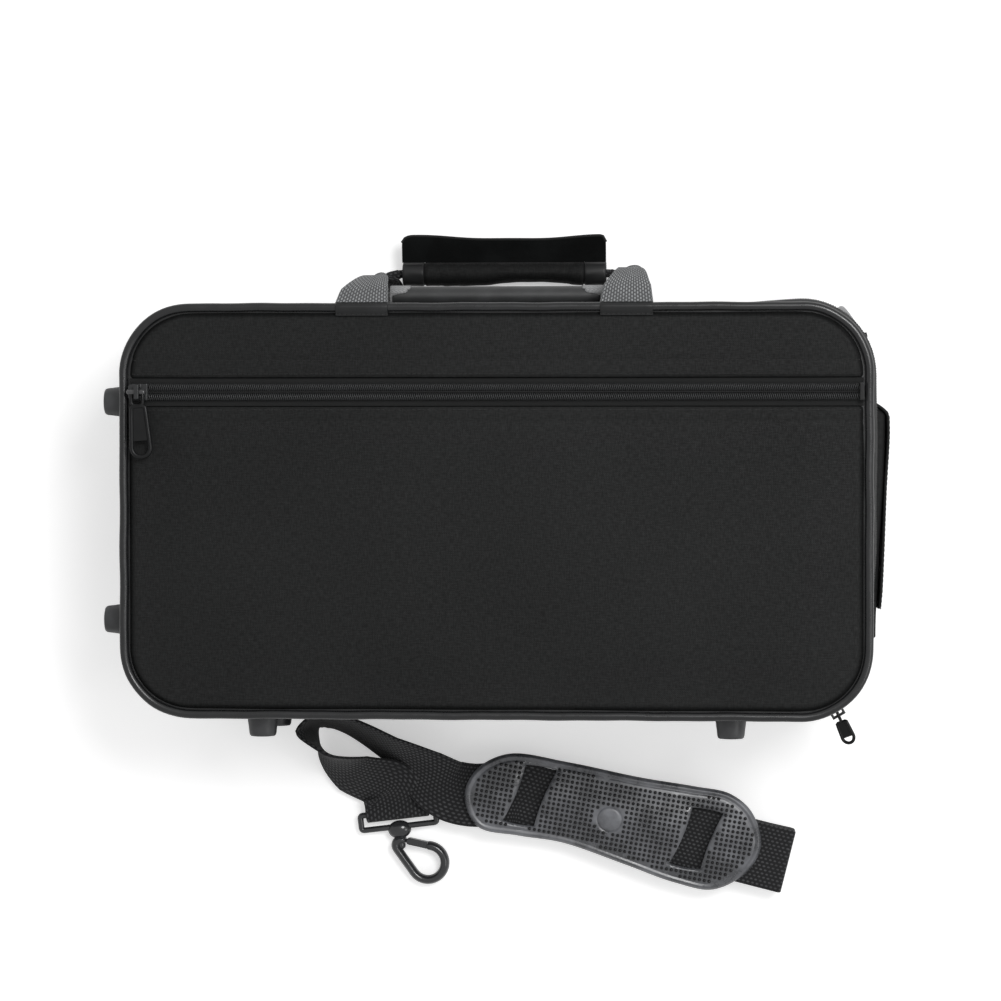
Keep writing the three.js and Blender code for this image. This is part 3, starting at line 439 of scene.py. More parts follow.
class Finish:
    """A procedural material on the principled shader."""

    def __init__(self, name, colour, roughness, **sockets):
        self.material, self.colour = bpy.data.materials.new(name), colour
        self.material.use_nodes = True
        self.tree = self.material.node_tree
        self.tree.nodes.clear()
        sockets = {key.replace("_", " "): value for key, value in sockets.items()}
        sockets |= {"Base Color": (*colour, 1), "Roughness": roughness}
        self.shader = add(self.tree, "ShaderNodeBsdfPrincipled", sockets)
        add(self.tree, "ShaderNodeOutputMaterial", {"Surface": self.shader})

    def body(self):
        """Metres on the piece itself."""
        return add(self.tree, "ShaderNodeTexCoord")["Object"]

    def cut(self):
        """Metres on the piece's UV map."""
        return add(self.tree, "ShaderNodeUVMap", uv_map="cut")

    def set(self, socket, value):
        plug(self.shader.node.inputs[socket], value)

    def paint(self, share, dark, light):
        """A colour between two, each given as it is or as a share of the finish's own."""
        ends = [end if isinstance(end, tuple) else tuple(end * c for c in self.colour) for end in (dark, light)]
        mix = add(self.tree, "ShaderNodeMix", {0: share, 6: (*ends[0], 1), 7: (*ends[1], 1)}, data_type="RGBA")
        self.set("Base Color", mix[2])

    def raised(self, height, depth, strength):
        """The material, once its relief is on it."""
        sockets = {"Height": height, "Distance": depth, "Strength": strength}
        self.set("Normal", add(self.tree, "ShaderNodeBump", sockets))
        return self.material


def oxford_finish(name="black oxford cloth", colour=(0.0080, 0.0083, 0.0083), pitch=0.00095):
    """Coated plain-weave nylon: warp over weft in turn, with slubs, dust and a tone that drifts."""
    finish = Finish(name, colour, 0.6, Specular_IOR_Level=0.17)
    place = finish.cut()
    x, y, _ = place.parts()
    ribs = x.wave(pitch) * y.wave(pitch) * 0.5 + 0.5
    slubs = place.stretch((1500, 300, 1)).noise(1.0) + place.stretch((300, 1500, 1)).noise(1.0)
    tone = finish.body().noise(9.0, 4.0).spread(0.3, 0.7, 0.0, 0.25)
    fleck = slubs.spread(0.8, 1.4, 0.0, 0.75)
    finish.paint(tone + fleck, 0.7, 2.4)
    finish.set("Roughness", fleck.spread(0, 0.75, 0.66, 0.48))
    return finish.raised(ribs * 0.6 + slubs * 0.6, 0.00016, 0.7)


def vinyl_finish(name, colour, roughness, grain, gloss=0.5):
    """Soft vinyl with a fine leather grain, small creases and rubbed spots."""
    finish = Finish(name, colour, roughness, Specular_IOR_Level=gloss, Coat_Weight=0.06, Coat_Roughness=0.25)
    body = finish.body()
    sockets = {"Vector": body, "Scale": 1300.0}
    pores = add(finish.tree, "ShaderNodeTexVoronoi", sockets, feature="DISTANCE_TO_EDGE")
    crease = body.noise(160.0, 5.0, 0.6)
    finish.paint(body.noise(45.0, 4.0, 0.65).spread(0.5, 0.75), 0.85, 1.3)
    finish.set("Roughness", crease.spread(0.3, 0.7, roughness - 0.08, roughness + 0.08))
    return finish.raised(pores.spread(0.0, 0.25) + crease * 0.8, grain, 0.4)


def pile_finish(name, colour, sheen):
    """Short pile, brushed this way and that."""
    finish = Finish(name, colour, 0.95, Specular_IOR_Level=0.1, Sheen_Weight=sheen, Sheen_Roughness=0.35)
    pile = finish.body().noise(2600.0, 2.0, 0.7)
    brushed = finish.body().noise(38.0, 5.0, 0.6).spread(0.4, 0.65)
    finish.paint((brushed + pile) * 0.5, 0.4, 2.0)
    return finish.raised(pile + brushed * 0.8, 0.0005, 0.8)


def webbing_finish(name, ground, floats, pitch, share=0.6):
    """Woven webbing: a ribbed ground with staggered raised floats, which are painted lighter than the ground:
    painted highlights on the floats.
    """
    finish = Finish(name, ground, 0.8, Specular_IOR_Level=0.3, Sheen_Weight=0.15, Sheen_Roughness=0.4)
    place = finish.cut()
    x, y, _ = place.parts()
    column = x / pitch
    row = y / (pitch * 1.25) + column.maths("FLOOR").maths("MODULO", 2.0) * 0.5
    side, end = ((part.maths("FRACT") - 0.5).maths("ABSOLUTE") for part in (column, row))
    dome = (side * side * 1.5 + end * end).maths("SQRT").spread(share * 0.34, share * 0.62, 1.0, 0.0)
    fibre = place.stretch((4200, 900, 1)).noise(1.0)
    worn = (fibre + finish.body().noise(120.0)).spread(0.7, 1.3, 0.45, 1.0)
    # The floats' lighter colour is painted highlight, dimmed at random where the fibre and wear vary.
    finish.paint(dome * worn, ground, floats)
    return finish.raised(dome + y.wave(pitch / 2.5) * 0.12 + fibre * 0.5, 0.00035, 0.8)


def tape_finish():
    """Zip tape: a fine herringbone whose rib changes hand every few threads."""
    finish = Finish("black zip tape", (0.012, 0.0125, 0.0125), 0.75, Specular_IOR_Level=0.25, Sheen_Weight=0.1)
    place = finish.cut()
    x, y, _ = place.parts()
    height = (x.maths("PINGPONG", 0.0012) + y).wave(0.0007) + place.noise(3000.0, 2.0)
    # The colour follows the rib height: ribs painted lighter and the grooves between them darker, as painted
    # highlight and painted shade.
    finish.paint(height.spread(-0.6, 1.7), (0.005, 0.005, 0.005), (0.024, 0.025, 0.025))
    return finish.raised(height, 0.00012, 0.7)


def gloss_finish(name, colour, roughness, **sockets):
    """Moulded or cast stock: a smooth face with fine scratches, a faint flow pattern and rubbed spots."""
    finish = Finish(name, colour, roughness, **sockets)
    body = finish.body()
    flow, scratch = body.noise(300.0), body.stretch((2200, 260, 260), (0.3, 0.5, 0.8)).noise(1.0, 2.0)
    finish.paint(body.noise(90.0, 4.0, 0.7).spread(0.52, 0.72), 0.9, 1.3)
    finish.set("Roughness", (flow + scratch * 0.6).spread(0.5, 1.1, roughness - 0.05, roughness + 0.1))
    return finish.raised(flow + scratch, 0.00002, 0.3)


def rubber_finish(name, colour, roughness, gloss=0.4, drift=0.2):
    """Moulded rubber: a dull skin with a fine orange peel, and lighter patches at random: dusty on every piece,
    and on the pad, whose drift is larger, painted highlights as well.
    """
    finish = Finish(name, colour, roughness, Specular_IOR_Level=gloss)
    peel = finish.body().noise(900.0, 3.0, 0.55)
    dust_and_highlight = finish.body().noise(60.0, 5.0, 0.65).spread(0.42, 0.7)
    # Lighter patches at random: dust, and where the drift is large, painted highlights too.
    finish.paint(dust_and_highlight, 1 - drift, 1 + 1.7 * drift)
    finish.set("Roughness", (peel + dust_and_highlight).spread(0.4, 1.4, roughness - 0.08, roughness + 0.1))
    return finish.raised(peel, 0.00006, 0.5)


CORD, GUSSET, BEADS, NUBS = cord_tree(), gusset_tree(), bead_tree(), nub_tree()
OXFORD, TAPE = oxford_finish(), tape_finish()
WRAP_CLOTH = oxford_finish("black wrap cloth", (0.006, 0.0062, 0.0062), 0.0007)
PIPING_VINYL = vinyl_finish("grey piping vinyl", (0.010, 0.0104, 0.0112), 0.30, 0.00001, 0.62)
GRIP_VINYL = vinyl_finish("black grip vinyl", (0.040, 0.041, 0.042), 0.42, 0.00004)
SATIN = vinyl_finish("satin band", (0.018, 0.0185, 0.019), 0.45, 0.00003, 0.3)
PLUSH = pile_finish("black plush", (0.008, 0.008, 0.009), 0.25)
VELVET = pile_finish("black loop velvet", (0.004, 0.0045, 0.0045), 0.12)
HANDLE_WEBBING = webbing_finish("grey handle webbing", (0.085, 0.087, 0.089), (0.40, 0.41, 0.42), 0.0015, 0.72)
WRAP_WEBBING = webbing_finish("grey patch webbing", (0.26, 0.262, 0.268), (0.50, 0.505, 0.51), 0.0009, 0.8)
STRAP_WEBBING = webbing_finish("dark strap webbing", (0.010, 0.010, 0.011), (0.074, 0.076, 0.079), 0.0020, 0.62)
BINDING = webbing_finish("black binding", (0.012, 0.012, 0.012), (0.03, 0.03, 0.031), 0.0011)
THREAD = webbing_finish("black thread", (0.012, 0.012, 0.012), (0.03, 0.03, 0.03), 0.0006)
NYLON = gloss_finish("black nylon coil", (0.024, 0.025, 0.026), 0.34, Specular_IOR_Level=0.5)
PLASTIC = gloss_finish("black moulded plastic", (0.026, 0.027, 0.029), 0.2, Coat_Weight=0.5, Coat_Roughness=0.1)
ZIP_PLASTIC = gloss_finish("black zip slider", (0.022, 0.023, 0.024), 0.3, Specular_IOR_Level=0.5)
PULL_PLASTIC = gloss_finish("black zip pull", (0.0065, 0.0068, 0.0072), 0.34, Specular_IOR_Level=0.28)
BAR_PLASTIC = gloss_finish("polished slider bar", (0.05, 0.05, 0.052), 0.14, Coat_Weight=0.6,
                           Coat_Roughness=0.08)
NICKEL = gloss_finish("dull nickel wire", (0.42, 0.42, 0.43), 0.26, Metallic=1.0)
# The pad's larger drift paints lighter patches, which are painted highlights as well as dust.
PAD_RUBBER = rubber_finish("grey pad rubber", (0.098, 0.101, 0.110), 0.32, 0.8, 0.4)
NUB_RUBBER = rubber_finish("black pad nubs", (0.006, 0.006, 0.007), 0.3)
FOOT_RUBBER = rubber_finish("grey foot rubber", (0.038, 0.039, 0.041), 0.42, 0.55)


# The case's body

def gusset_run(first=-90, last=270, arc=14, pitch=7.0):
    """Stations along the gusset between two angles round its corners, and the way that each faces."""
    at, out = [], []
    for corner, (x, y) in enumerate([(1, -1), (1, 1), (-1, 1), (-1, -1)]):
        for angle in np.radians(np.linspace(max(first, 90 * (corner - 1)), min(last, 90 * corner), arc + 1)):
            out.append(np.array([math.cos(angle), math.sin(angle), 0]))
            at.append([x * CORNER_X, y * CORNER_Y, 0] + CORNER * out[-1])
    filled, facing = [], []
    for i, (a, b) in enumerate(zip(at, at[1:] + at[:1])):
        open_end = i == len(at) - 1 and last - first < 360
        steps = 1 if open_end else max(1, round(np.linalg.norm(b - a) / pitch))
        filled += [a + (b - a) * s / steps for s in range(steps)]
        facing += [out[i]] * steps
    return np.array(filled), np.array(facing)


def gusset_swell(at):
    """How far the cloth swells at its fullest: most at the right end, least behind the handles."""
    x, y = at[:, 0], at[:, 1]
    right = 3.8 * smoothstep(105, 165, x) * smoothstep(-70, -10, y)
    left = 1.3 * smoothstep(105, 175, -x)
    return 1.2 + right + left + 0.35 * np.sin(x / 23 + 0.7) + 0.25 * np.sin((x + y) / 11)


def gusset_piece(name, section, finish, first=-90, last=270):
    """A section of (offset, height, share of the swell) carried round the case."""
    whole = last - first == 360
    at, out = gusset_run(first, last)
    along = arc_lengths(at, whole)
    path = lines(name, [at], whole, along=along[:len(at)], swell=gusset_swell(at) * MM, out=out)
    offset, height, share = np.array(section, float).T
    places = np.stack([offset, -height, 0 * height], 1)
    length = arc_lengths(places, True)
    cut = lines("section", [places], True, outer=share, round=length[:-1])
    grow(path, GUSSET, finish, Section=cut, Bottom=SWELL_FOOT * MM, Height=SWELL_HEIGHT * MM)
    bpy.data.objects.remove(cut)
    return shade(lay_along(path, (along[-1], length[-1])), finish, 50)


def make_shells():
    base = [(-5.8, 4.9, 0), (-2.2, 4.5, 0), (-0.8, 4.9, 1), (-0.15, 6.0, 1)]
    base += [(0, z, 1) for z in np.linspace(8, 50, 10)]
    base += [(0, 51.2, 1), (-0.3, 51.9, 1), (-0.9, 52.15, 1), (-1.9, 52.2, 1), (-1.9, 57.0, 1), (-2.5, 59.4, 1),
             (-2.7, BASE_RIM, 1), (-5.6, BASE_RIM, 0), (-6, 59.4, 0), (-6, 9, 0)]
    lid = [(-6, 92, 0), (-6, 60.6, 0), (-5.6, LID_RIM, 0), (-2.7, LID_RIM, 1), (-2.5, 60.6, 1), (-1.9, 63.0, 1),
           (-1.9, 67.8, 1), (-0.9, 67.85, 1), (-0.3, 68.1, 1), (0, 68.8, 1)]
    lid += [(0, z, 1) for z in np.linspace(70, 92.6, 7)]
    lid += [(-0.15, 94.4, 1), (-0.8, 95.5, 1), (-2.2, 95.9, 0), (-5.8, 95.6, 0)]
    at, out = gusset_run()
    for half, section, board in (("base", base, (4.9, 9.7)), ("lid", lid, (92.3, 95.6))):
        wall = gusset_piece(half + "_gusset", section, OXFORD)
        stiff = lay_flat(skin(half + "_board", [at - out * 5.9 + [0, 0, z] for z in board], OXFORD))
        fit(joined(f"case_{half}_shell", wall, stiff), "case_" + half, "cloth_black", half + "_shell")


def make_piping():
    for place, half, axis, inward in (("back", "base", BACK_AXIS, 1), ("front", "lid", FRONT_AXIS, -1)):
        name = place + "_piping_cord"
        at, out = gusset_run(arc=20, pitch=4.0)
        x, y = at[:, 0], at[:, 1]
        wave = 0.10 * np.sin(x / 9.0 + y / 7.0) + 0.08 * np.sin(x / 4.1 - y / 5.3)
        piping = cord(name, at + [0, 0, axis] + out * wave[:, None], PIPING, PIPING_VINYL, 16)
        low, high = sorted((axis + inward * 1.7, axis + inward * 2.1))
        section = [(offset, z, 0) for offset, z in ((-4.0, low), (-0.8, low), (-0.8, high), (-4.0, high))]
        flange = gusset_piece(name + "_flange", section, PIPING_VINYL)
        fit(joined(name, piping, flange), "case_" + half, "vinyl_grey", place + "_piping")


def panel_reach(y):
    """Half of the panel's length at a height across it: the outline pulled in beside the piping."""
    radius = CORNER - PANEL_INSET
    past = np.clip(np.abs(y) - CORNER_Y, 0, radius)
    return CORNER_X + np.sqrt(radius ** 2 - past ** 2)


def edge_distance(x, y):
    """How far inside the panel's outline a point lies."""
    qx, qy = np.abs(x) - CORNER_X, np.abs(y) - CORNER_Y
    outside = np.hypot(np.maximum(qx, 0), np.maximum(qy, 0)) + np.minimum(np.maximum(qx, qy), 0)
    return CORNER - PANEL_INSET - outside


def panel_grid(y0, y1, rows, cols):
    """A grid over part of the panel, finer towards its edges."""
    down, across = (share * (1.3 - 0.3 * share ** 2) for share in (np.linspace(-1, 1, n) for n in (rows, cols)))
    y = (y0 + y1) / 2 + (y1 - y0) / 2 * down
    return panel_reach(y)[:, None] * across, np.repeat(y[:, None], cols, 1)


def pillow(name, x, y, low, high, finish):
    """A closed panel between two height fields over the same grid, with its cut laid flat."""
    index, under = np.arange(x.size).reshape(x.shape), x.size
    upper = cells(index)
    rim = np.concatenate([index[0], index[1:, -1], index[-1, -2::-1], index[-2:0:-1, 0]])
    walls = np.stack([rim, rim + under, np.roll(rim, -1) + under, np.roll(rim, -1)], 1)
    faces = np.concatenate([upper, upper[:, [0, 3, 2, 1]] + under, walls]).tolist()
    points = [np.stack([x, y, z], 2) for z in (high, low)]
    return lay_flat(shade(new_piece(name, points, [], faces), finish, 45))


def cloth_face(x, y, fold, stitched):
    """The height of a puffed cloth face: it rolls down at its seams and fold, dips at stitches, and waves."""
    edge = edge_distance(x, y)
    height = PANEL_TOP + 0.9 * smoothstep(2, 34, edge) - 3.3 * (1 - smoothstep(-0.3, 3.6, edge)) ** 1.5
    away = np.abs(y - fold)
    height -= 0.7 * (1 - smoothstep(0, 1.1, away)) + 0.5 * (1 - smoothstep(0, 26, away))
    height -= 0.32 * np.exp(-((y - stitched) / 1.1) ** 2)
    return height + 0.22 * np.sin(x / 41 + 1.3) * np.sin(y / 33 + 0.4) + 0.10 * np.sin(x / 15 + y / 27)


def make_panels():
    for name, node, span, rows, seam, floor, fill in (
            ("pocket_cloth", "pocket_panel", (-PANEL_END, FOLD_DOWN), 74, (FOLD_DOWN, STITCH_DOWN), 97.8, 0.6),
            ("front_cloth", "front_panel", (FOLD_UP, PANEL_END), 26, (FOLD_UP, STITCH_UP), 96.0, 0.7)):
        x, y = panel_grid(*span, rows, 128)
        top = cloth_face(x, y, *seam)
        panel = pillow(name, x, y, np.minimum(top - 1.0, floor), top, OXFORD)
        fit(panel, "case_lid", "cloth_black", node)
    x, y = panel_grid(-PANEL_END, PANEL_END, 60, 90)
    low = 0.05 + 1.6 * (1 - smoothstep(-0.5, 6, edge_distance(x, y)))
    back = pillow("back_cloth", x, y, low, np.full_like(x, 4.5), OXFORD)
    fit(back, "case_base", "cloth_black", "back_panel")


def stitches(name, runs, ups, body, slot, sizes, finish=THREAD):
    """Stitches along runs of points on a surface; sizes are their pitch, length and thickness."""
    pitch, length, thick = sizes
    return fit(beads(name, runs, ups, finish, (pitch, length, thick, thick * 0.8)), body, slot)


def make_panel_stitches():
    runs = []
    for line in (STITCH_UP, STITCH_DOWN, FOLD_UP + 1.6, FOLD_DOWN - 1.6):
        reach = float(panel_reach(np.array(line))) - 3
        x = np.linspace(-reach, reach, 90)
        y = np.full_like(x, line)
        z = cloth_face(x, y, *((FOLD_UP, STITCH_UP) if line > POCKET_LINE else (FOLD_DOWN, STITCH_DOWN)))
        runs.append(np.stack([x, y, z + 0.02], 1))
    stitches("panel_topstitches", runs, [(0, 0, 1)] * 4, "case_lid", "cloth_black", (2.6, 2.1, 0.42))


# Zips

def make_pocket_zip():
    reach = 186.0
    x = np.linspace(-reach, reach, 60)
    section = [(-7.1, 96.05), (7.1, 96.05), (7.1, 97.0), (3.9, 97.05), (3.6, 98.3), (-3.6, 98.3), (-3.9, 97.05),
               (-7.1, 97.0)]
    tape = skin("pocket_tape", [[(px, POCKET_LINE + y, z) for y, z in section] for px in x], TAPE)
    runs = [[(px, POCKET_LINE + side * 2.35, 98.9) for px in x] for side in (-1, 1)]
    teeth = beads("pocket_coil", runs, [(0, 0, 1)] * 2, NYLON, (1.05, 0.8, 4.6, 1.5), (0.3, -0.3))
    ends = [(way * reach, POCKET_LINE, 98.8) for way in (-1, 1)]
    core = cord("pocket_core", ends, 0.3, TAPE, 8, False, 38)
    fit(joined("pocket_zip_chain", teeth, core), "case_lid", "zip_black")
    fit(tape, "case_lid", "zip_black", "pocket_zip")
    fit(moulded("pocket_zip_end", "pocket_zip_stop", PULL_PLASTIC, 0.2, 3), "case_lid", "plastic_black",
        "pocket_zip_stop")


def make_main_zip():
    first, last = -66, 246
    at, out = gusset_run(first, last)
    clear = at[:, 1] > -99.8
    for half, rim, way in (("base", BASE_RIM, -1), ("lid", LID_RIM, 1)):
        name, body = f"main_zip_{half}", "case_" + half
        section = [(-1.4, rim, 1), (-0.4, rim, 1), (-0.4, rim + way * 7.4, 1), (-1.4, rim + way * 7.4, 1)]
        tape = gusset_piece(name + "_tape", section, TAPE, first, last)
        z = rim + way * 1.35
        swell = gusset_swell(at) * math.sin(math.pi * ((z - SWELL_FOOT) / SWELL_HEIGHT) ** 2)
        run = at + out * (0.35 + swell)[:, None] + [0, 0, z]
        teeth = beads(name + "_coil", [run[clear]], [out[clear]], NYLON, (1.3, 1.0, 2.6, 2.0), [0.18 * way])
        fit(teeth, body, "zip_black")
        fit(tape, body, "zip_black", name + "_half")


def make_hinge():
    """One strip of cloth across the hinge."""
    heights = np.concatenate([np.linspace(52.5, 57, 4), np.linspace(57.6, 62.4, 11), np.linspace(63, 67.5, 4)])
    outer = [(-103.1 + 0.25 * math.sin((z - 52.5) / 15 * math.pi), z) for z in heights]
    section = outer + [(y + 1.0, z) for y, z in outer[::-1]]
    x = np.linspace(-CORNER_X + 1, CORNER_X - 1, 60)
    hinge = skin("cloth_hinge", [[(px, y, z) for y, z in section] for px in x], OXFORD)
    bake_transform(hinge)
    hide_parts("hinge_tape_base", "hinge_tape_lid")


def pull_tab(name, ends, waist, rim_radius, web_share, place):
    """A pull's thick round rim, wider at its end, with a thin web that leaves a window there."""
    (top, low), (wide, narrow) = ends, waist
    flank = [(narrow + (wide - narrow) * (1 - share), low + wide + (top - low - wide) * share)
             for share in (0.25, 0.5, 0.75, 0.95)] + [(0.75 * narrow, top)]
    rim = arc_points(0, low + wide, wide, 180, 360, 19) + flank + [(-w, y) for w, y in flank[::-1]]
    ring = cord(name + "_rim", [place(x, y, 0) for x, y in rim], rim_radius, PULL_PLASTIC)
    web_low = top - (top - low) * web_share
    rings = []
    for y, cut in ((web_low, 0.4), (web_low + 0.4, 0), ((web_low + top) / 2, 0), (top, 0.1)):
        half = narrow + (wide - narrow) * (top - y) / (top - low - wide) - cut
        rings.append([place(s * half, y, h) for s, h in ((-1, -0.35), (1, -0.35), (1, 0.35), (-1, 0.35))])
    return [lay_flat(ring), lay_flat(skin(name + "_web", rings, PULL_PLASTIC))]


def pull_eye(name, half_x, half_y, middle, radius, place):
    """The small wire loop that joins a pull to its slider."""
    eye = [(-1, -0.7), (-0.7, -1), (0.7, -1), (1, -0.7), (1, 0.7), (0.7, 1), (-0.7, 1), (-1, 0.7)]
    points = [place(half_x * a, middle + half_y * b, 0) for a, b in eye]
    return lay_flat(cord(name, points, radius, PULL_PLASTIC, 10))


def make_pocket_pull():
    """The pocket zip's pull hangs a little askew from its slider."""
    x, y, z = pivot = np.array([-180.9, 60.5, 104.55])
    hang = lambda a, b, c: pivot + np.append(turned(a, b, 4.2), c)
    parts = pull_tab("pull", (-7.3, -33.0), (4.8, 3.5), 1.15, 0.68, hang)
    eye = pull_eye("pull_eye", 2.9, 3.35, -3.35, 0.9, lambda *place: pivot + place)
    fit(joined("pocket_pull_tab", *parts, eye), "pocket_pull", "plastic_black", "pocket_zip_pull")
    bar = rod("pocket_pull_pivot", (x - 5.4, x + 4.2), y, z, 1.35, BAR_PLASTIC, 24, 20)
    fit(bar, "pocket_pull", "plastic_black")


def make_main_pull():
    """The main zip's pull: a loop on the slider's bridge, and a small tab turned half flat."""
    back = np.array([-math.cos(math.radians(66)), math.sin(math.radians(66)), 0])
    side = np.cross([0, 0, 1], back)
    upright = lambda a, b, c: np.array([174.975, -104.098, 55.8 + a]) + back * b + side * c

    def turned_flat(a, b, c):
        a, c = turned(a, c, -60)
        return upright(a, b, c)
    eye = pull_eye("main_pull_eye", 2.6, 3.2, -2.3, 0.8, upright)
    parts = pull_tab("main_pull", (-6.0, -17.6), (3.4, 2.9), 0.85, 0.72, turned_flat)
    fit(joined("main_pull_tab", *parts, eye), "main_pull", "plastic_black", "main_zip_pull")


def make_sliders():
    for zip_name in ("pocket", "main"):
        slider, node = zip_name + "_slider", zip_name + "_zip_slider"
        fit(moulded(slider + "_body", node, ZIP_PLASTIC, 0.24, 4), slider, "plastic_black", node)


# Lining and feet

def make_lining():
    for name, node, half in (("joint_insert", "base_insert", "base"), ("lid_padding", "lid_lining", "lid")):
        fit(moulded(name, node, PLUSH, 2.2, 3), "case_" + half, "plush_black", node)


def make_feet():
    profile = [(0.01, 0), (7.6, 0), (8.1, 0.25), (8.2, 0.8), (8.0, 2.2), (7.6, 5.0), (7.2, 8.0), (6.95, 10.4),
               (6.7, 11.4), (6.2, 11.95), (5.6, 12.0), (5.1, 11.7), (4.8, 11.0), (4.6, 10.6), (4.0, 10.4),
               (2.4, 10.4), (2.2, 9.2), (0.01, 9.2)]
    places = [("end_foot_upper", -END_WALL, 56.0, (-1, 0, 0)),
              ("end_foot_lower", -END_WALL, -56.0, (-1, 0, 0)),
              ("side_foot_left", -120.0, -SIDE_WALL, (0, -1, 0)),
              ("side_foot_right", 120.0, -SIDE_WALL, (0, -1, 0))]
    for half, height in (("base", 24.0), ("lid", 82.0)):
        for place, x, y, axis in places:
            turn, root = Vector(axis).to_track_quat("Z", "X").to_matrix(), Vector((x, y, height))
            rings = [[root + turn @ Vector((radius * math.cos(a), radius * math.sin(a), reach))
                      for a in circle(40)]
                     for radius, reach in profile]
            foot = skin(f"{half}_{place}_rubber", rings, FOOT_RUBBER, degrees=50)
            fit(foot, "case_" + half, "rubber_grey", f"{half}_{place}")


# Webbing

def between(p0, p1, p2, p3, w):
    """A point and a direction between the middle two of four stations, on a centripetal Catmull-Rom line."""
    d0, d1, d2 = (max(np.sum((b - a) ** 2) ** 0.25, 1e-6) for a, b in ((p0, p1), (p1, p2), (p2, p3)))
    t1 = ((p1 - p0) / d0 - (p2 - p0) / (d0 + d1) + (p2 - p1) / d1) * d1
    t2 = ((p2 - p1) / d1 - (p3 - p1) / (d1 + d2) + (p3 - p2) / d2) * d1
    c2, c3 = -3 * p1 + 3 * p2 - 2 * t1 - t2, 2 * p1 - 2 * p2 + t1 + t2
    return p1 + t1 * w + c2 * w * w + c3 * w ** 3, t1 + 2 * c2 * w + 3 * c3 * w * w


def smooth_line(stations, steps):
    """Points, directions, stations and shares along a smooth line."""
    at = np.array([s[0] for s in stations], float)
    at = np.concatenate([[2 * at[0] - at[1]], at, [2 * at[-1] - at[-2]]])
    count, rows = len(stations) - 1, []
    for t in np.linspace(0, 1, steps * count + 1):
        place = min(int(t * count + 1e-9), count - 1)
        point, along = between(*at[place:place + 4], t * count - place)
        rows.append((point, along / np.linalg.norm(along), place, t * count - place))
    return rows


def band_section(half_across, half_thick):
    """A strap's cross-section: flat faces and rounded edges."""
    edge = min(half_thick, half_across) * 0.98
    flat = half_across - edge
    curve = [(flat + edge * math.cos(a), half_thick * math.sin(a)) for a in np.radians([60, 30, 0, -30, -60])]
    half = [(flat * s, half_thick) for s in np.linspace(-1, 1, 9)] + curve
    return half + [(-a, -b) for a, b in half]


def ribbon(name, stations, finish, steps=8, square=True):
    """Webbing through stations of (place, across, width, thickness), cut square to its line or along across."""
    rings, frames = [], []
    for point, along, place, share in smooth_line(stations, steps):
        (_, a0, w0, h0), (_, a1, w1, h1) = stations[place], stations[place + 1]
        across = np.asarray(a0, float) * (1 - share) + np.asarray(a1, float) * share
        across -= along * np.dot(across, along) * square
        across /= np.linalg.norm(across)
        face = np.cross(along, across)
        face /= np.linalg.norm(face)
        half_across, half_thick = (w0 + (w1 - w0) * share) / 2, (h0 + (h1 - h0) * share) / 2
        rings.append([point + across * a + face * b for a, b in band_section(half_across, half_thick)])
        frames.append((point, across, face, half_across, half_thick))
    return skin(name, rings, finish, degrees=50), frames


def rod(name, ends, y, z, radius, finish, rings=40, sides=40, shape=lambda share, angle: 0):
    """A round bar along the case; shape(share along, angle) adds to its radius."""
    (x0, x1), lofts = ends, []
    for share in np.linspace(0, 1, rings + 1):
        inset = min(share, 1 - share) * abs(x1 - x0)
        level = radius - 0.8 * (1 - min(inset / 0.8, 1)) ** 2
        radii = [(level + shape(share, angle), angle) for angle in circle(sides)]
        lofts.append([(x0 + (x1 - x0) * share, y + r * math.cos(a), z + r * math.sin(a)) for r, a in radii])
    return skin(name, lofts, finish, degrees=50)


def handle_legs(name, grip, seam_z, crest_y, crest_z, rolled, finish, leans=((5.6, 0), (0.5, 0))):
    """Two legs of webbing that curl over and roll up into the grip, round its core; a lean moves a crest."""
    (grip_y, grip_z), seam_y, end, across = grip, 105.7, GRIP_HALF + 5, (1, 0, 0)
    pieces = []
    for side, (lean, rise) in zip((-1, 1), leans):
        base, crest = side * LEG_X, crest_y + rise
        stations = [((base, seam_y, seam_z), across, 27, 1.8),
                    ((base - side * 0.25 * lean, (seam_y + crest) / 2, crest_z), across, 24, 1.8),
                    ((base - side * lean, crest, (crest_z + grip_z) / 2), across, 12.5, 1.8),
                    ((side * (end + 2.9), (crest + grip_y) / 2, grip_z), rolled, 8, 5),
                    ((side * (end - 2.9), grip_y, grip_z), rolled, 5.0, 5.0)]
        pieces.append(ribbon(name + "_leg", stations, finish, 10, False)[0])
    return pieces + [rod(name + "_core", (-57, 57), grip_y, grip_z, 2.9, finish, 8, 20)]


def wrap_patch(side, grip, radius=5.0):
    """A scrap of webbing round the outer side of the grip's end, with a frayed inner edge."""
    rings = []
    for share, lift in ((0.0, 0.0), (0.04, 0.45), (0.5, 0.45), (0.96, 0.45), (1.0, 0.0)):
        ring = []
        for i, angle in enumerate(circle(48)):
            frayed = 0.9 * math.sin(3 * angle + 0.6) + 0.5 * math.sin(11 * angle) + 0.4 * (-1) ** i
            length = 1.2 + smoothstep(-0.05, 0.4, math.cos(angle)) * (8.6 + frayed)
            y, z = grip + (radius + lift) * np.array([math.cos(angle), math.sin(angle)])
            ring.append((side * (GRIP_HALF + 0.1 - length * share), y, z))
        rings.append(np.array(ring))
    middle = np.array([0, *grip])
    inner = [middle * 0.1 + rings[i] * [1, 0.9, 0.9] for i in (-1, 0)]
    return skin("front_patch", rings + inner, WRAP_WEBBING, loop=True, degrees=60)


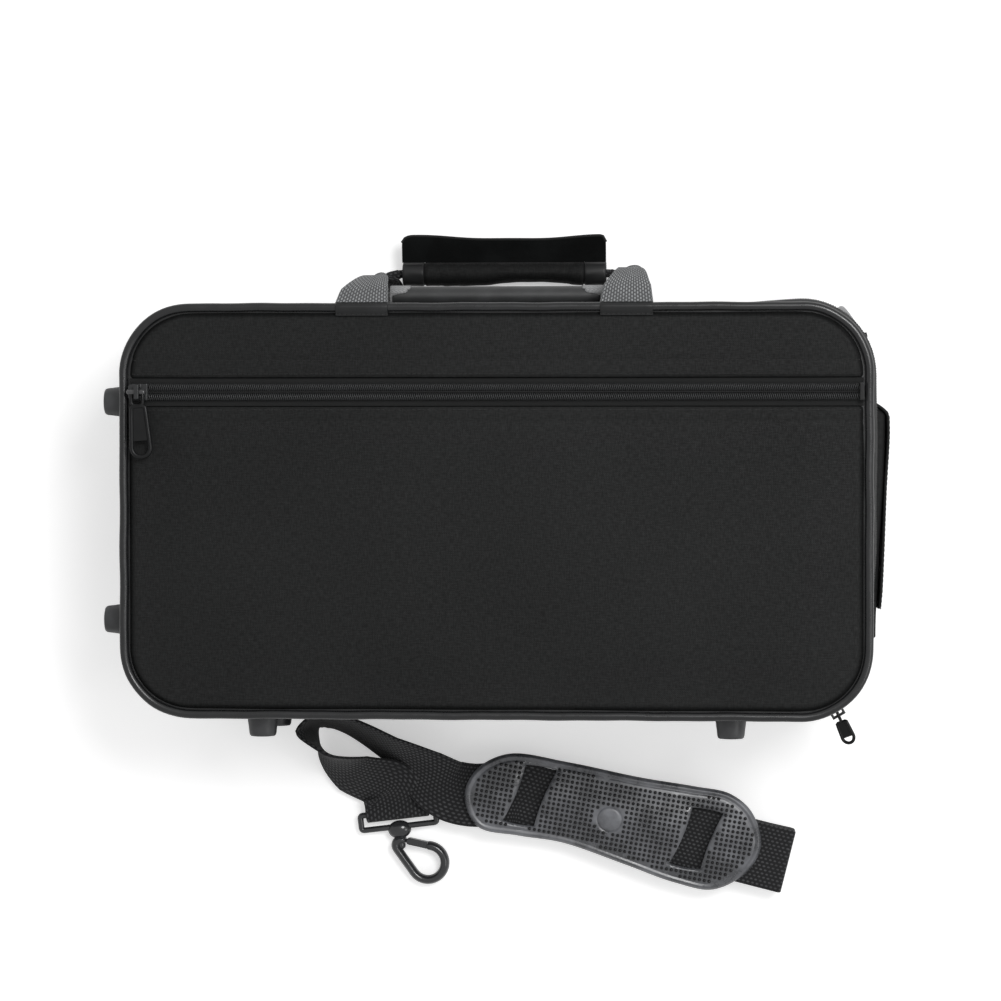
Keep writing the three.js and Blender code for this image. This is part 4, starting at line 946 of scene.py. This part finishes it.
def make_front_handle():
    grip = np.array([110.1, 75.4])
    legs = handle_legs("front", grip, 98.5, 119.5, 96.7, (0, 1, 0.4), HANDLE_WEBBING, ((5.6, 0), (-1.5, 3.6)))
    patches = [wrap_patch(side, grip) for side in (-1, 1)]
    fit(joined("front_handle_straps", *legs, *patches), "front_handle", "webbing_grey", "front_handle_webbing")
    wrinkle = lambda share, angle: 0.03 * math.sin(share * 61) * math.sin(angle * 2 + share * 9) \
        - 0.3 * math.exp(-((angle - 4.4) / 0.1) ** 2)
    tube = rod("front_handle_tube", (-GRIP_HALF, GRIP_HALF), *grip, 5.0, GRIP_VINYL, 90, 48, wrinkle)
    fit(tube, "front_handle", "vinyl_grey", "front_handle_grip")
    rows = [(105.25, 99.2), (104.9, 100.15), (103.6, 100.95), (101.8, 100.4), (100.4, 99.4), (99.2, 99.1)]
    for place, side in (("left", -1), ("right", 1)):
        stations = [((side * LEG_X, y, z), (1, 0, 0), 26.6, 0.8) for y, z in rows]
        fit(ribbon(f"handle_seam_{place}", stations, SATIN)[0], "case_lid", "webbing_grey")
        run = [(side * LEG_X + x, 99.8, 99.85) for x in np.linspace(-12.4, 12.4, 16)]
        stitches(f"handle_seam_stitches_{place}", [run], [(0, 0, 1)], "case_lid", "webbing_grey",
                 (2.4, 1.7, 0.55), BINDING)


def make_back_handle():
    grip = (125.5, 6.9)
    # The back handle's legs and core take the strap's dark webbing, not the front handle's grey: painted shade,
    # for the shadow that they lie in.
    legs = handle_legs("back", grip, 1.1, 120.5, 4.7, (0, 0.4, 1), STRAP_WEBBING)
    fit(joined("back_handle_straps", *legs), "back_handle", "webbing_grey", "back_handle_webbing")

    def soft(share, angle):
        seam = min(abs(share - 0.107), abs(share - 0.893)) * 109
        hollow = 1.9 * math.exp(-((share - 0.67) / 0.24) ** 4) * max(0.0, -math.cos(angle))
        crease = 0.12 * math.sin(angle * 3 + share * 14) * math.sin(share * 33)
        return crease - 0.35 * math.exp(-(seam / 0.8) ** 2) - hollow
    sleeve = rod("wrap_sleeve", (-43, 43), *grip, 6.5, WRAP_CLOTH, 70, 48, soft)
    fit(sleeve, "back_handle", "cloth_black", "handle_wrap_sleeve")
    ends = [rod("wrap_end", (side * 42.8, side * GRIP_HALF), *grip, 6.6, SATIN, 20, 48,
                lambda share, angle: 0.1 * math.sin(angle * 5 + share * 3)) for side in (-1, 1)]
    fit(joined("wrap_end_bands", *ends), "back_handle", "cloth_black")


def make_wrap_flap():
    """The wrap's open flap: velvet with bound edges, a little wavy, which stands up from the sleeve."""
    rise, rings, rim = 15, [], []
    for x in np.linspace(-GRIP_HALF, GRIP_HALF, 70):
        share = (x + GRIP_HALF) / (2 * GRIP_HALF)
        corner = 1 - min((GRIP_HALF - abs(x)) / (6.0 if x < 0 else 3.0), 1)
        reach = 14.2 - 3.4 * (1 - math.sqrt(1 - corner ** 2)) + 0.25 * math.sin(x / 7.0 + 1.0)
        reach -= 2.0 * abs(math.sin(share * math.pi)) ** 1.5
        lift = 0.9 * math.sin(x / 26.0) + 0.5 * math.sin(x / 11.0 + 0.6)
        path = [(s * reach, lift * s ** 2 * 1.2) for s in np.linspace(0, 1, 8)]
        ring = []
        for half_thick, order in ((0.8, path), (-0.8, path[::-1])):
            for a, b in order:
                y, z = turned(a, b + half_thick * (0.45 if a > reach * 0.96 else 1.0), rise)
                ring.append((x, 131.4 + y, 11.85 + z))
        rings.append(ring)
        rim.append(np.mean(ring[7:9], 0))
    flap = skin("wrap_flap_velvet", rings, VELVET, degrees=50)
    binding = cord("wrap_flap_binding", rim, 0.75, BINDING, 8, False)
    fit(joined("wrap_flap_cloth", flap, binding), "wrap_flap", "plush_black", "handle_wrap_flap")


# End pouch

def make_pouch():
    """A bag whose mouth slants under its flap, folded in at the mouth and carried back down inside."""
    face = lambda y: 6.8 + 4.7 * smoothstep(-64, 50.5, y)
    under_flap = lambda y: 0.4 + max(0.0, 58.8 - y) * 1.16
    rows = [(-68, 0, 2.5, 16.0, 1.2), (-67.7, 0, 4.4, 16.6, 2.0)]
    for y in np.append(np.linspace(-66, 48, 40), np.linspace(49, 56.6, 10)):
        puff = 0.5 * math.sin((y + 66) / 122 * math.pi) + 0.2 * math.sin(y / 8.0)
        rows.append((y, 0, min(face(y) - 0.4 + 0.5 * puff, under_flap(y)), 17.0, 3.0))
    rows.append((57.0, 0.3, 1.9, 16.6, 0.7))
    for y in np.append(np.linspace(56.4, 49, 8), np.linspace(48, -64, 28)):
        rows.append((y, 1.0, max(1.3, min(face(y) - 1.9, under_flap(y) - 1.3)), 15.6, 1.6))
    rings = []
    for y, near, far, half, radius in rows:
        radius = min(radius, (far - near) / 2 - 0.05)
        box = rounded_box(END_WALL + near, END_WALL + far, 30 - half, 30 + half, radius, 5)
        rings.append([(x, y, z) for x, z in box])
    fit(skin("pouch_bag", rings, OXFORD, degrees=50), "case_base", "cloth_black", "end_pouch")


def make_pouch_flap():
    slope = lambda y: 7.8 + 4.7 * (y + 65) / 112
    rows = [(0.9, 58.0, 33, 1.2), (5.6, 55.2, 34, 1.5), (11.6, 50.2, 34, 1.6), (slope(44) + 0.1, 43, 34, 1.6),
            (slope(10), 10, 34, 1.6), (slope(-20) + 0.2, -20, 34, 1.6), (slope(-40) + 0.1, -42, 34, 1.6),
            (slope(-50), -49.5, 31, 1.6), (slope(-52), -51.6, 26, 1.5)]
    stations = [((END_WALL + off, y, 30), (0, 0, 1), width, thick) for off, y, width, thick in rows]
    flap, frames = ribbon("pouch_flap_cloth", stations, OXFORD)
    fit(flap, "pouch_flap", "cloth_black", "end_pouch_flap")
    sewn = frames[16:]
    runs = [[at + across * (half - 2.2) * way - face * (1.68 - thick) for at, across, face, half, thick in sewn]
            for way in (-1, 1)]
    ups = [[-face for _, _, face, _, _ in sewn]] * 2
    stitches("pouch_flap_stitches", runs, ups, "pouch_flap", "cloth_black", (2.6, 2.1, 0.45))


# D-rings

def d_line(half=14.0, wire=1.9, length=17.0):
    """A ring's straight side, with a bow that runs out from its ends."""
    points = [(0, (half - wire) * s) for s in np.linspace(-1, 1, 10)]
    bend = np.radians([20, 45, 70, 90])
    points += [(wire - wire * math.cos(a), half - wire + wire * math.sin(a)) for a in bend]
    for t in np.linspace(0.08, 1, 12):
        s = 1 - t
        across = (s ** 3 + 3 * s * s * t) * half + 3 * s * t * t * wire
        points.append((s ** 3 * wire + (1 - s ** 3) * length, across))
    return points + [(a, -b) for a, b in points[10:-1]][::-1]


def make_d_rings():
    for place, side, degrees in (("right", 1, 33), ("left", -1, 147)):
        out = np.append(turned(1, 0, degrees), 0)
        along = side * np.array([-out[1], out[0], 0])
        foot = np.array([side * CORNER_X, CORNER_Y, 30]) + out * (CORNER + PROUD)
        eye = foot + out * 4.4
        ring = cord(f"ring_{place}", [eye + along * a + [0, 0, b] for a, b in d_line()], 1.85, NICKEL, 14)
        fit(ring, f"ring_{place}", "steel_grey", f"d_ring_{place}")
        path = [foot + along * 6.5 + out * 0.95, foot + out * 1.0, foot - along * 0.8 + out * 1.1]
        path += [eye + along * 3.15 * math.cos(a) + out * 3.087 * math.sin(a)
                 for a in np.radians([-135, -180, -225, -270])]
        tab, _ = ribbon(f"ring_tab_{place}", [(at, (0, 0, 1), 22, 1.7) for at in path], BINDING, 6)
        fit(tab, "case_base", "webbing_grey", f"d_ring_tab_{place}")


# Shoulder strap

PAD_CENTRE, PAD_TURN, STRAP_TURN, STRAP_SHIFT = np.array([58.0, -167.0]), -10.0, -4.0, 2.0
HOOK_PLACE, HOOK_TURN, HOOK_AXIS, SLOT_TURN = np.array([-58.0, -164.0]), -83.0, 4.4, 3.3
LOW_LAYER, TOP_LAYER, PAD_UNDER = 1.6, 14.3, 15.5
FOLD_REACH, FOLD_RETURN, TAIL_TURN = 94.0, 42.0, 1.5
SECOND_HOOK = FOLD_RETURN - 14.6


def on_pad(x, y, z):
    """From the pad's own axes to the scene."""
    return np.append(turned(x, y, PAD_TURN) + PAD_CENTRE, z)


def on_strap(x, y, z):
    """A point of the strap's run under the pad, from the pad's middle."""
    return on_pad(*(turned(x, y, STRAP_TURN) + [0, STRAP_SHIFT]), z)


def on_tail(x, y, z):
    """A point of the strap's last run, turned a little about its last fold."""
    return on_strap(*(turned(x - FOLD_REACH, y, TAIL_TURN) + [FOLD_REACH, 0]), z)


def half_turn(radius, middle):
    """A fold seen from its side: how far it reaches, and its height."""
    return arc_points(0, middle, radius, -90, 90, 5)


def strap_stations():
    """The strap's path: through the first hook, a loop, the pad, its folds, and the second hook."""
    loop = [(-0.1, 0.4, 0.12, 1, 0.05, 0), (-0.68, 0.64, 0.2, 0.6, 0.5, 0.6), (-1.15, 1.02, 0.36, 0.1, 0.1, 1),
            (-1.34, 1.36, 0.39, -0.3, 0, 0.95), (-1.15, 1.49, 0.4, -0.1, 0.3, 0.95),
            (-0.76, 1.42, 0.4, 0.05, 0.35, 0.93), (-0.08, 1.05, 0.36, 0.2, 0.46, 0.87),
            (0.45, 0.68, 0.29, 0.31, 0.7, 0.5), (0.85, 0.38, 0.17, 0.3, 0.85, 0.08)]
    start = np.append(HOOK_PLACE, HOOK_AXIS + SLOT_TURN)
    cross = np.append(turned(1, 0, HOOK_TURN + 90), 0)
    bar = lambda y, z: (np.append(HOOK_PLACE + turned(0, y, HOOK_TURN + 90), z), cross)
    run = lambda x, z: (on_strap(x, 0, z), on_strap(0, 1, 0) - on_strap(0, 0, 0))
    tail = lambda x, z: (on_tail(x, 0, z), on_tail(0, 1, 0) - on_tail(0, 0, 0))
    turn = half_turn(SLOT_TURN, HOOK_AXIS)
    rows = [bar(44 / 3, LOW_LAYER)] + [bar(-back, z) for back, z in turn] + [bar(6, start[2])]
    rows += [(start + STRAP_WIDTH * np.array(at), across) for *at, a, b, c in loop for across in [(a, b, c)]]
    rows += [(on_strap(-75, -7, TOP_LAYER), run(0, 0)[1])] + [run(x, TOP_LAYER) for x in (-160 / 3, -40, 0)]
    turns = [FOLD_REACH, FOLD_RETURN, FOLD_REACH, FOLD_RETURN, FOLD_REACH]
    pitch = (TOP_LAYER - LOW_LAYER) / len(turns)
    for i, x in enumerate(turns):
        z, way = TOP_LAYER - i * pitch, -1 if i % 2 else 1
        rows.append(run(x - way * pitch, z))
        rows += [run(x + way * out, height) for out, height in half_turn(pitch / 2, z - pitch / 2)[::-1]]
        rows.append(run(x - way * pitch, z - pitch))
    rows[-1] = tail(FOLD_REACH - pitch, LOW_LAYER)
    rows.append(tail(SECOND_HOOK + 6, HOOK_AXIS - SLOT_TURN))
    rows += [tail(SECOND_HOOK - back, z) for back, z in turn] + [tail(SECOND_HOOK + 3, start[2])]
    return [(at, across, STRAP_WIDTH, WEBBING) for at, across in rows]


def swept(name, points, half_wide, half_high, place, closed=False):
    """An oval bar along a flat line, with rounded ends."""
    points = np.asarray(points, float)
    ahead = np.roll(points, -1, 0) - np.roll(points, 1, 0) if closed else np.gradient(points, axis=0)
    ahead /= np.linalg.norm(ahead, axis=1)[:, None]
    rows = [(p, t, 1.0) for p, t in zip(points, ahead)]
    if not closed:
        ends = [(0.9 * half_wide * math.sin(a), math.cos(a)) for a in np.radians([80, 60, 40, 20])]
        rows = [(points[0] - ahead[0] * d, ahead[0], w) for d, w in ends] + rows
        rows += [(points[-1] + ahead[-1] * d, ahead[-1], w) for d, w in ends[::-1]]
    rings = []
    for (x, y), (dx, dy), w in rows:
        oval = [(half_wide * w * math.cos(a), half_high * w * math.sin(a)) for a in circle(20)]
        rings.append([place(x - dy * across, y + dx * across, z) for across, z in oval])
    return skin(name, rings, PLASTIC, loop=closed, degrees=60)


def make_hook(which, at, degrees, way):
    """A wire frame for the strap with a domed collar, and a hook whose bar runs from its nose to its gate."""
    place = lambda x, y, z: np.append(turned(x, way * y, degrees), way * z) + at
    node = f"strap_hook_{which}"
    wire = swept("hook_wire_frame", rounded_box(0.0, 8.0, -20.4, 20.4, 1.2, 4), 1.6, 1.7, place, closed=True)
    dome = [[place(9.6 + 4.9 * math.sin(a), 6.3 * math.cos(a) * math.cos(b), 4.15 * math.cos(a) * math.sin(b))
             for b in circle(32)] for a in np.radians(np.linspace(-88, 88, 19))]
    collar = skin("hook_collar", dome, PLASTIC, degrees=70)
    fit(joined(f"hook_loop_{which}", wire, collar), "strap", "plastic_black", node + "_crossbar")
    neck, reach, small, large = 18.2, 17.0, 3.1, 9.2
    lean = math.degrees(math.acos((small - large) / reach))
    near, far = turned(small, 0, lean), turned(large, 0, lean) + [reach, 0]
    line = [near + (far - near) * share for share in (0.93, 0.97)]
    line += arc_points(reach, 0, large, lean, -lean, 34)
    line += [[1, -1] * (far + (near - far) * share) for share in (0.2, 0.4, 0.6, 0.8)]
    line += arc_points(0, 0, small, 360 - lean, lean, 12)
    ring = swept("hook_ring", [turned(x, y, 50) + [neck, 0] for x, y in line], 2.45, 3.7, place)
    stem = swept("hook_stem", [(x, 0) for x in (12.6, 14, 16, 18.5)], 2.2, 2.6, place)
    fit(joined(f"hook_body_{which}", ring, stem), f"hook_{which}", "plastic_black", node)
    gate = moulded(f"hook_gate_{which}", node + "_gate", PLASTIC, 0.3, 8, 0.3)
    fit(gate, f"gate_{which}", "plastic_black", node + "_gate")


def make_strap():
    strap, _ = ribbon("strap_band", strap_stations(), STRAP_WEBBING, 9)
    fit(strap, "strap", "webbing_grey", "strap_webbing")
    make_hook("first", np.append(HOOK_PLACE, HOOK_AXIS), HOOK_TURN, 1)
    make_hook("second", on_tail(SECOND_HOOK, 0, HOOK_AXIS), PAD_TURN + STRAP_TURN + TAIL_TURN - 180, -1)


# Shoulder pad

PAD_SHARES = [(-1, 0), (-0.95, 0.55), (-0.76, 0.97), (-0.36, 1.02), (0.14, 0.98), (0.5, 1), (0.74, 0.98),
              (0.9, 0.7), (1, 0.1), (0.94, -0.5), (0.74, -0.98), (0.48, -0.98), (0.14, -0.8), (-0.3, -0.6),
              (-0.6, -0.62), (-0.88, -0.58)]
SLOT_X, DISC_MIDDLE, DISC_RIM = (-45.6, 45.6), (-1.5, 1.5), 6.6


def pad_outline():
    shares = np.array(PAD_SHARES) * [80.0, 26.5]
    return np.array([between(*(shares[(i + k) % len(shares)] for k in (-1, 0, 1, 2)), w)[0]
                     for i in range(len(shares)) for w in np.arange(10) / 10])[::-1]


def slot_line(x, grow_by=0.0):
    """A leaning slot with bowed sides, moved outwards by a margin."""
    half_x, half_y, lean, bow, waist = 8.5 + grow_by, 16.5 + grow_by, 3.5, 1.2, 2.4
    low_y = 1.5 - half_y
    bends = [((-half_x - lean, low_y), (-lean, low_y - bow)), ((half_x - lean, low_y), (half_x - waist, 0)),
             ((half_x + lean, half_y), (lean, half_y + bow)), ((lean - half_x, half_y), (waist - half_x, 0))]
    found = []
    for (a, b), (c, _) in zip(np.array(bends), np.array(bends[1:] + bends[:1])):
        found += [(1 - t) ** 2 * a + 2 * (1 - t) * t * b + t * t * c for t in np.arange(8) / 8]
    return found + np.array([x, STRAP_SHIFT + x * math.tan(math.radians(STRAP_TURN))])


def line_distance(points, line):
    """Distance from points to a closed line, positive inside it."""
    a, b = line, np.roll(line, -1, 0)
    edge = b - a
    rel = points[:, None] - a[None]
    t = np.clip((rel * edge).sum(2) / (edge ** 2).sum(1), 0, 1)
    near = np.linalg.norm(rel - t[..., None] * edge, axis=2).min(1)
    crossing = (a[None, :, 1] > points[:, None, 1]) != (b[None, :, 1] > points[:, None, 1])
    with np.errstate(divide="ignore", invalid="ignore"):
        x = a[:, 0] + (points[:, 1:2] - a[:, 1]) * edge[:, 0] / edge[:, 1]
    inside = (crossing & (points[:, 0:1] < x)).sum(1) % 2 == 1
    return np.where(inside, near, -near)


OUTLINE, SLOTS = pad_outline(), [slot_line(x) for x in SLOT_X]


def pad_edges(places):
    """How far places lie inside the pad's outline, outside its slots, and from its disc's middle."""
    edge, hole = line_distance(places, OUTLINE), np.min([-line_distance(places, slot) for slot in SLOTS], 0)
    return edge, hole, np.hypot(*(places - DISC_MIDDLE).T)


def pad_crown(places):
    """The pad's upper face: thick in the middle, a smooth rim pressed lower, soft at its edges and slots."""
    edge, hole, disc = pad_edges(places)
    height = PAD_UNDER + 3.4 + 2.4 * smoothstep(1.0, 24.0, edge) - 0.55 * np.exp(-((edge - 3.3) / 0.8) ** 2)
    height += 0.8 * np.sin(places[:, 0] / 14.0 + 0.8) - 0.6 * np.exp(-((disc - DISC_RIM) / 0.5) ** 2)
    height -= 2.2 * (1 - smoothstep(-0.3, 2.0, edge)) ** 1.6
    return height - 1.2 * (1 - smoothstep(-0.2, 1.6, hole)) ** 1.6


def pad_grid(half_x, half_y, pitch):
    x, y = np.meshgrid(*(np.arange(-half, half + 0.1, pitch) for half in (half_x, half_y)))
    return np.stack([x.ravel(), y.ravel()], 1)


def pad_plan():
    """Points and triangles of the pad seen from above, with rows of points along its rim, slots and disc."""
    rings = [OUTLINE] + SLOTS
    inner = pad_grid(82, 28, 1.4)
    edge, hole, disc = pad_edges(inner)
    inner = inner[(edge > 5.4) & (hole > 2.6) & (np.abs(disc - DISC_RIM) > 1.6)]
    ahead = np.roll(OUTLINE, -1, 0) - np.roll(OUTLINE, 1, 0)
    inward = np.stack([-ahead[:, 1], ahead[:, 0]], 1) / np.linalg.norm(ahead, axis=1)[:, None]
    inward *= np.sign(line_distance(OUTLINE + inward * 0.1, OUTLINE))[:, None]
    rows = [OUTLINE + inward * by for by in (0.4, 0.8, 1.2, 1.7, 2.2, 2.6, 3.0, 3.3, 3.6, 4.0, 4.6)]
    rows = np.concatenate(rows + [slot_line(x, by) for x in SLOT_X for by in (0.4, 0.8, 1.2, 1.7)])
    edge, hole, _ = pad_edges(rows)
    disc = [p for r in (-1.0, -0.5, 0, 0.5, 1.0) for p in arc_points(*DISC_MIDDLE, DISC_RIM + r, 0, 352.5, 48)]
    flat = np.concatenate(rings + [inner, rows[(edge > 0.2) & (hole > 0.2)], disc])
    edges, first = [], 0
    for ring in rings:
        edges += [(first + i, first + (i + 1) % len(ring)) for i in range(len(ring))]
        first += len(ring)
    points, _, faces, *_ = delaunay_2d_cdt([Vector(p) for p in flat], edges, [], 0, 1e-5)
    points, faces = np.array([tuple(p) for p in points]), np.array(faces)
    edge, hole, _ = pad_edges(points[faces].mean(1))
    used, faces = np.unique(faces[(edge > 0) & (hole > 0)], return_inverse=True)
    return points[used], faces.reshape(-1, 3)


def make_pad():
    """A plate between a crowned face and a flat one, with two keeper loops underneath."""
    plan, faces = pad_plan()
    under = PAD_UNDER + 0.6 * (1 - smoothstep(-0.2, 1.5, line_distance(plan, OUTLINE)))
    points = [on_pad(*p, z) for heights in (pad_crown(plan), under) for p, z in zip(plan, heights)]
    sides = {(a, b) for face in faces.tolist() for a, b in zip(face, face[1:] + face[:1])}
    count = len(plan)
    walls = [(a, b, b + count, a + count) for a, b in sorted(sides) if (b, a) not in sides]
    closed = faces.tolist() + (faces[:, ::-1] + count).tolist() + walls
    pieces = [lay_flat(shade(new_piece("pad_plate", points, [], closed), PAD_RUBBER, 40))]
    top = PAD_UNDER + 1
    loop = [(-18.55, top), (-18.55, 12.4), (-17.6, 11.9), (17.6, 11.9), (18.55, 12.4), (18.55, top)]
    loop += [(17.35, top), (17.35, 13.1), (-17.35, 13.1), (-17.35, top)]
    for x in (-17.6, 17.6):
        rings = [[on_strap(x + dx, y, z) for y, z in loop] for dx in (-6, -5.6, 5.6, 6)]
        pieces.append(lay_flat(skin("pad_keeper", rings, PAD_RUBBER)))
    fit(joined("pad_body", *pieces), "strap_pad", "rubber_grey", "shoulder_pad")


def make_nubs():
    places = pad_grid(79, 27, 2.6)
    edge, hole, disc = pad_edges(places)
    places = places[(edge > 4.3) & (hole > 1.3) & (disc > 7.9)]
    points = [[on_pad(*p, z + 0.05)] for p, z in zip(places, pad_crown(places))]
    cloud = lines("pad_nubs", points, up=np.tile([0, 0, 1.0], (len(points), 1)))
    fit(grow(cloud, NUBS, NUB_RUBBER, Width=1.95 * MM, Height=1.7 * MM), "strap_pad", "rubber_grey")


# Room and light

def make_room():
    """White all round: the camera sees a brighter world and floor than the case does."""
    white, glow = (1, 1, 1, 1), 0.45
    world = bpy.context.scene.world = bpy.data.worlds.new("white room")
    finish = bpy.data.materials.new("white paper")
    for holder in (world, finish):
        holder.use_nodes = True
        holder.node_tree.nodes.clear()
    tree = world.node_tree
    rays = add(tree, "ShaderNodeLightPath")
    seen = rays["Is Camera Ray"].maths("MAXIMUM", rays["Is Transmission Ray"])
    sky = add(tree, "ShaderNodeBackground", {"Color": white, "Strength": seen * glow + 0.55})
    add(tree, "ShaderNodeOutputWorld", {0: sky})
    tree = finish.node_tree
    paper = add(tree, "ShaderNodeBsdfDiffuse", {"Color": (0.86, 0.86, 0.86, 1)})
    seen = add(tree, "ShaderNodeLightPath")["Is Camera Ray"]
    shine = add(tree, "ShaderNodeEmission", {"Color": white, "Strength": seen * glow})
    add(tree, "ShaderNodeOutputMaterial", {"Surface": add(tree, "ShaderNodeAddShader", {0: paper, 1: shine})})
    corners = [(-3000, -3000, 0), (3000, -3000, 0), (3000, 3000, 0), (-3000, 3000, 0)]
    floor = new_piece("floor", corners, [], [(0, 1, 2, 3)])
    floor.data.materials.append(finish)
    for name, place, power in (("soft box behind", (0.62, 0.58, 1.55), 14),
                               ("soft box right", (1.3, -0.35, 1.2), 3)):
        lamp = bpy.data.lights.new(name, "AREA")
        lamp.size, lamp.energy = 0.6, power
        holder = bpy.data.objects.new(name, lamp)
        bpy.context.scene.collection.objects.link(holder)
        holder.location = place
        holder.rotation_euler = (Vector((0, 0, 0.05)) - Vector(place)).to_track_quat("-Z", "Y").to_euler()
    bpy.context.scene.view_settings.view_transform = "Standard"


for make in (make_shells, make_piping, make_panels, make_panel_stitches, make_pocket_zip, make_main_zip,
             make_hinge, make_sliders, make_pocket_pull, make_main_pull, make_lining, make_feet,
             make_front_handle, make_back_handle, make_wrap_flap, make_pouch, make_pouch_flap, make_d_rings,
             make_strap, make_pad, make_nubs, make_room):
    make()
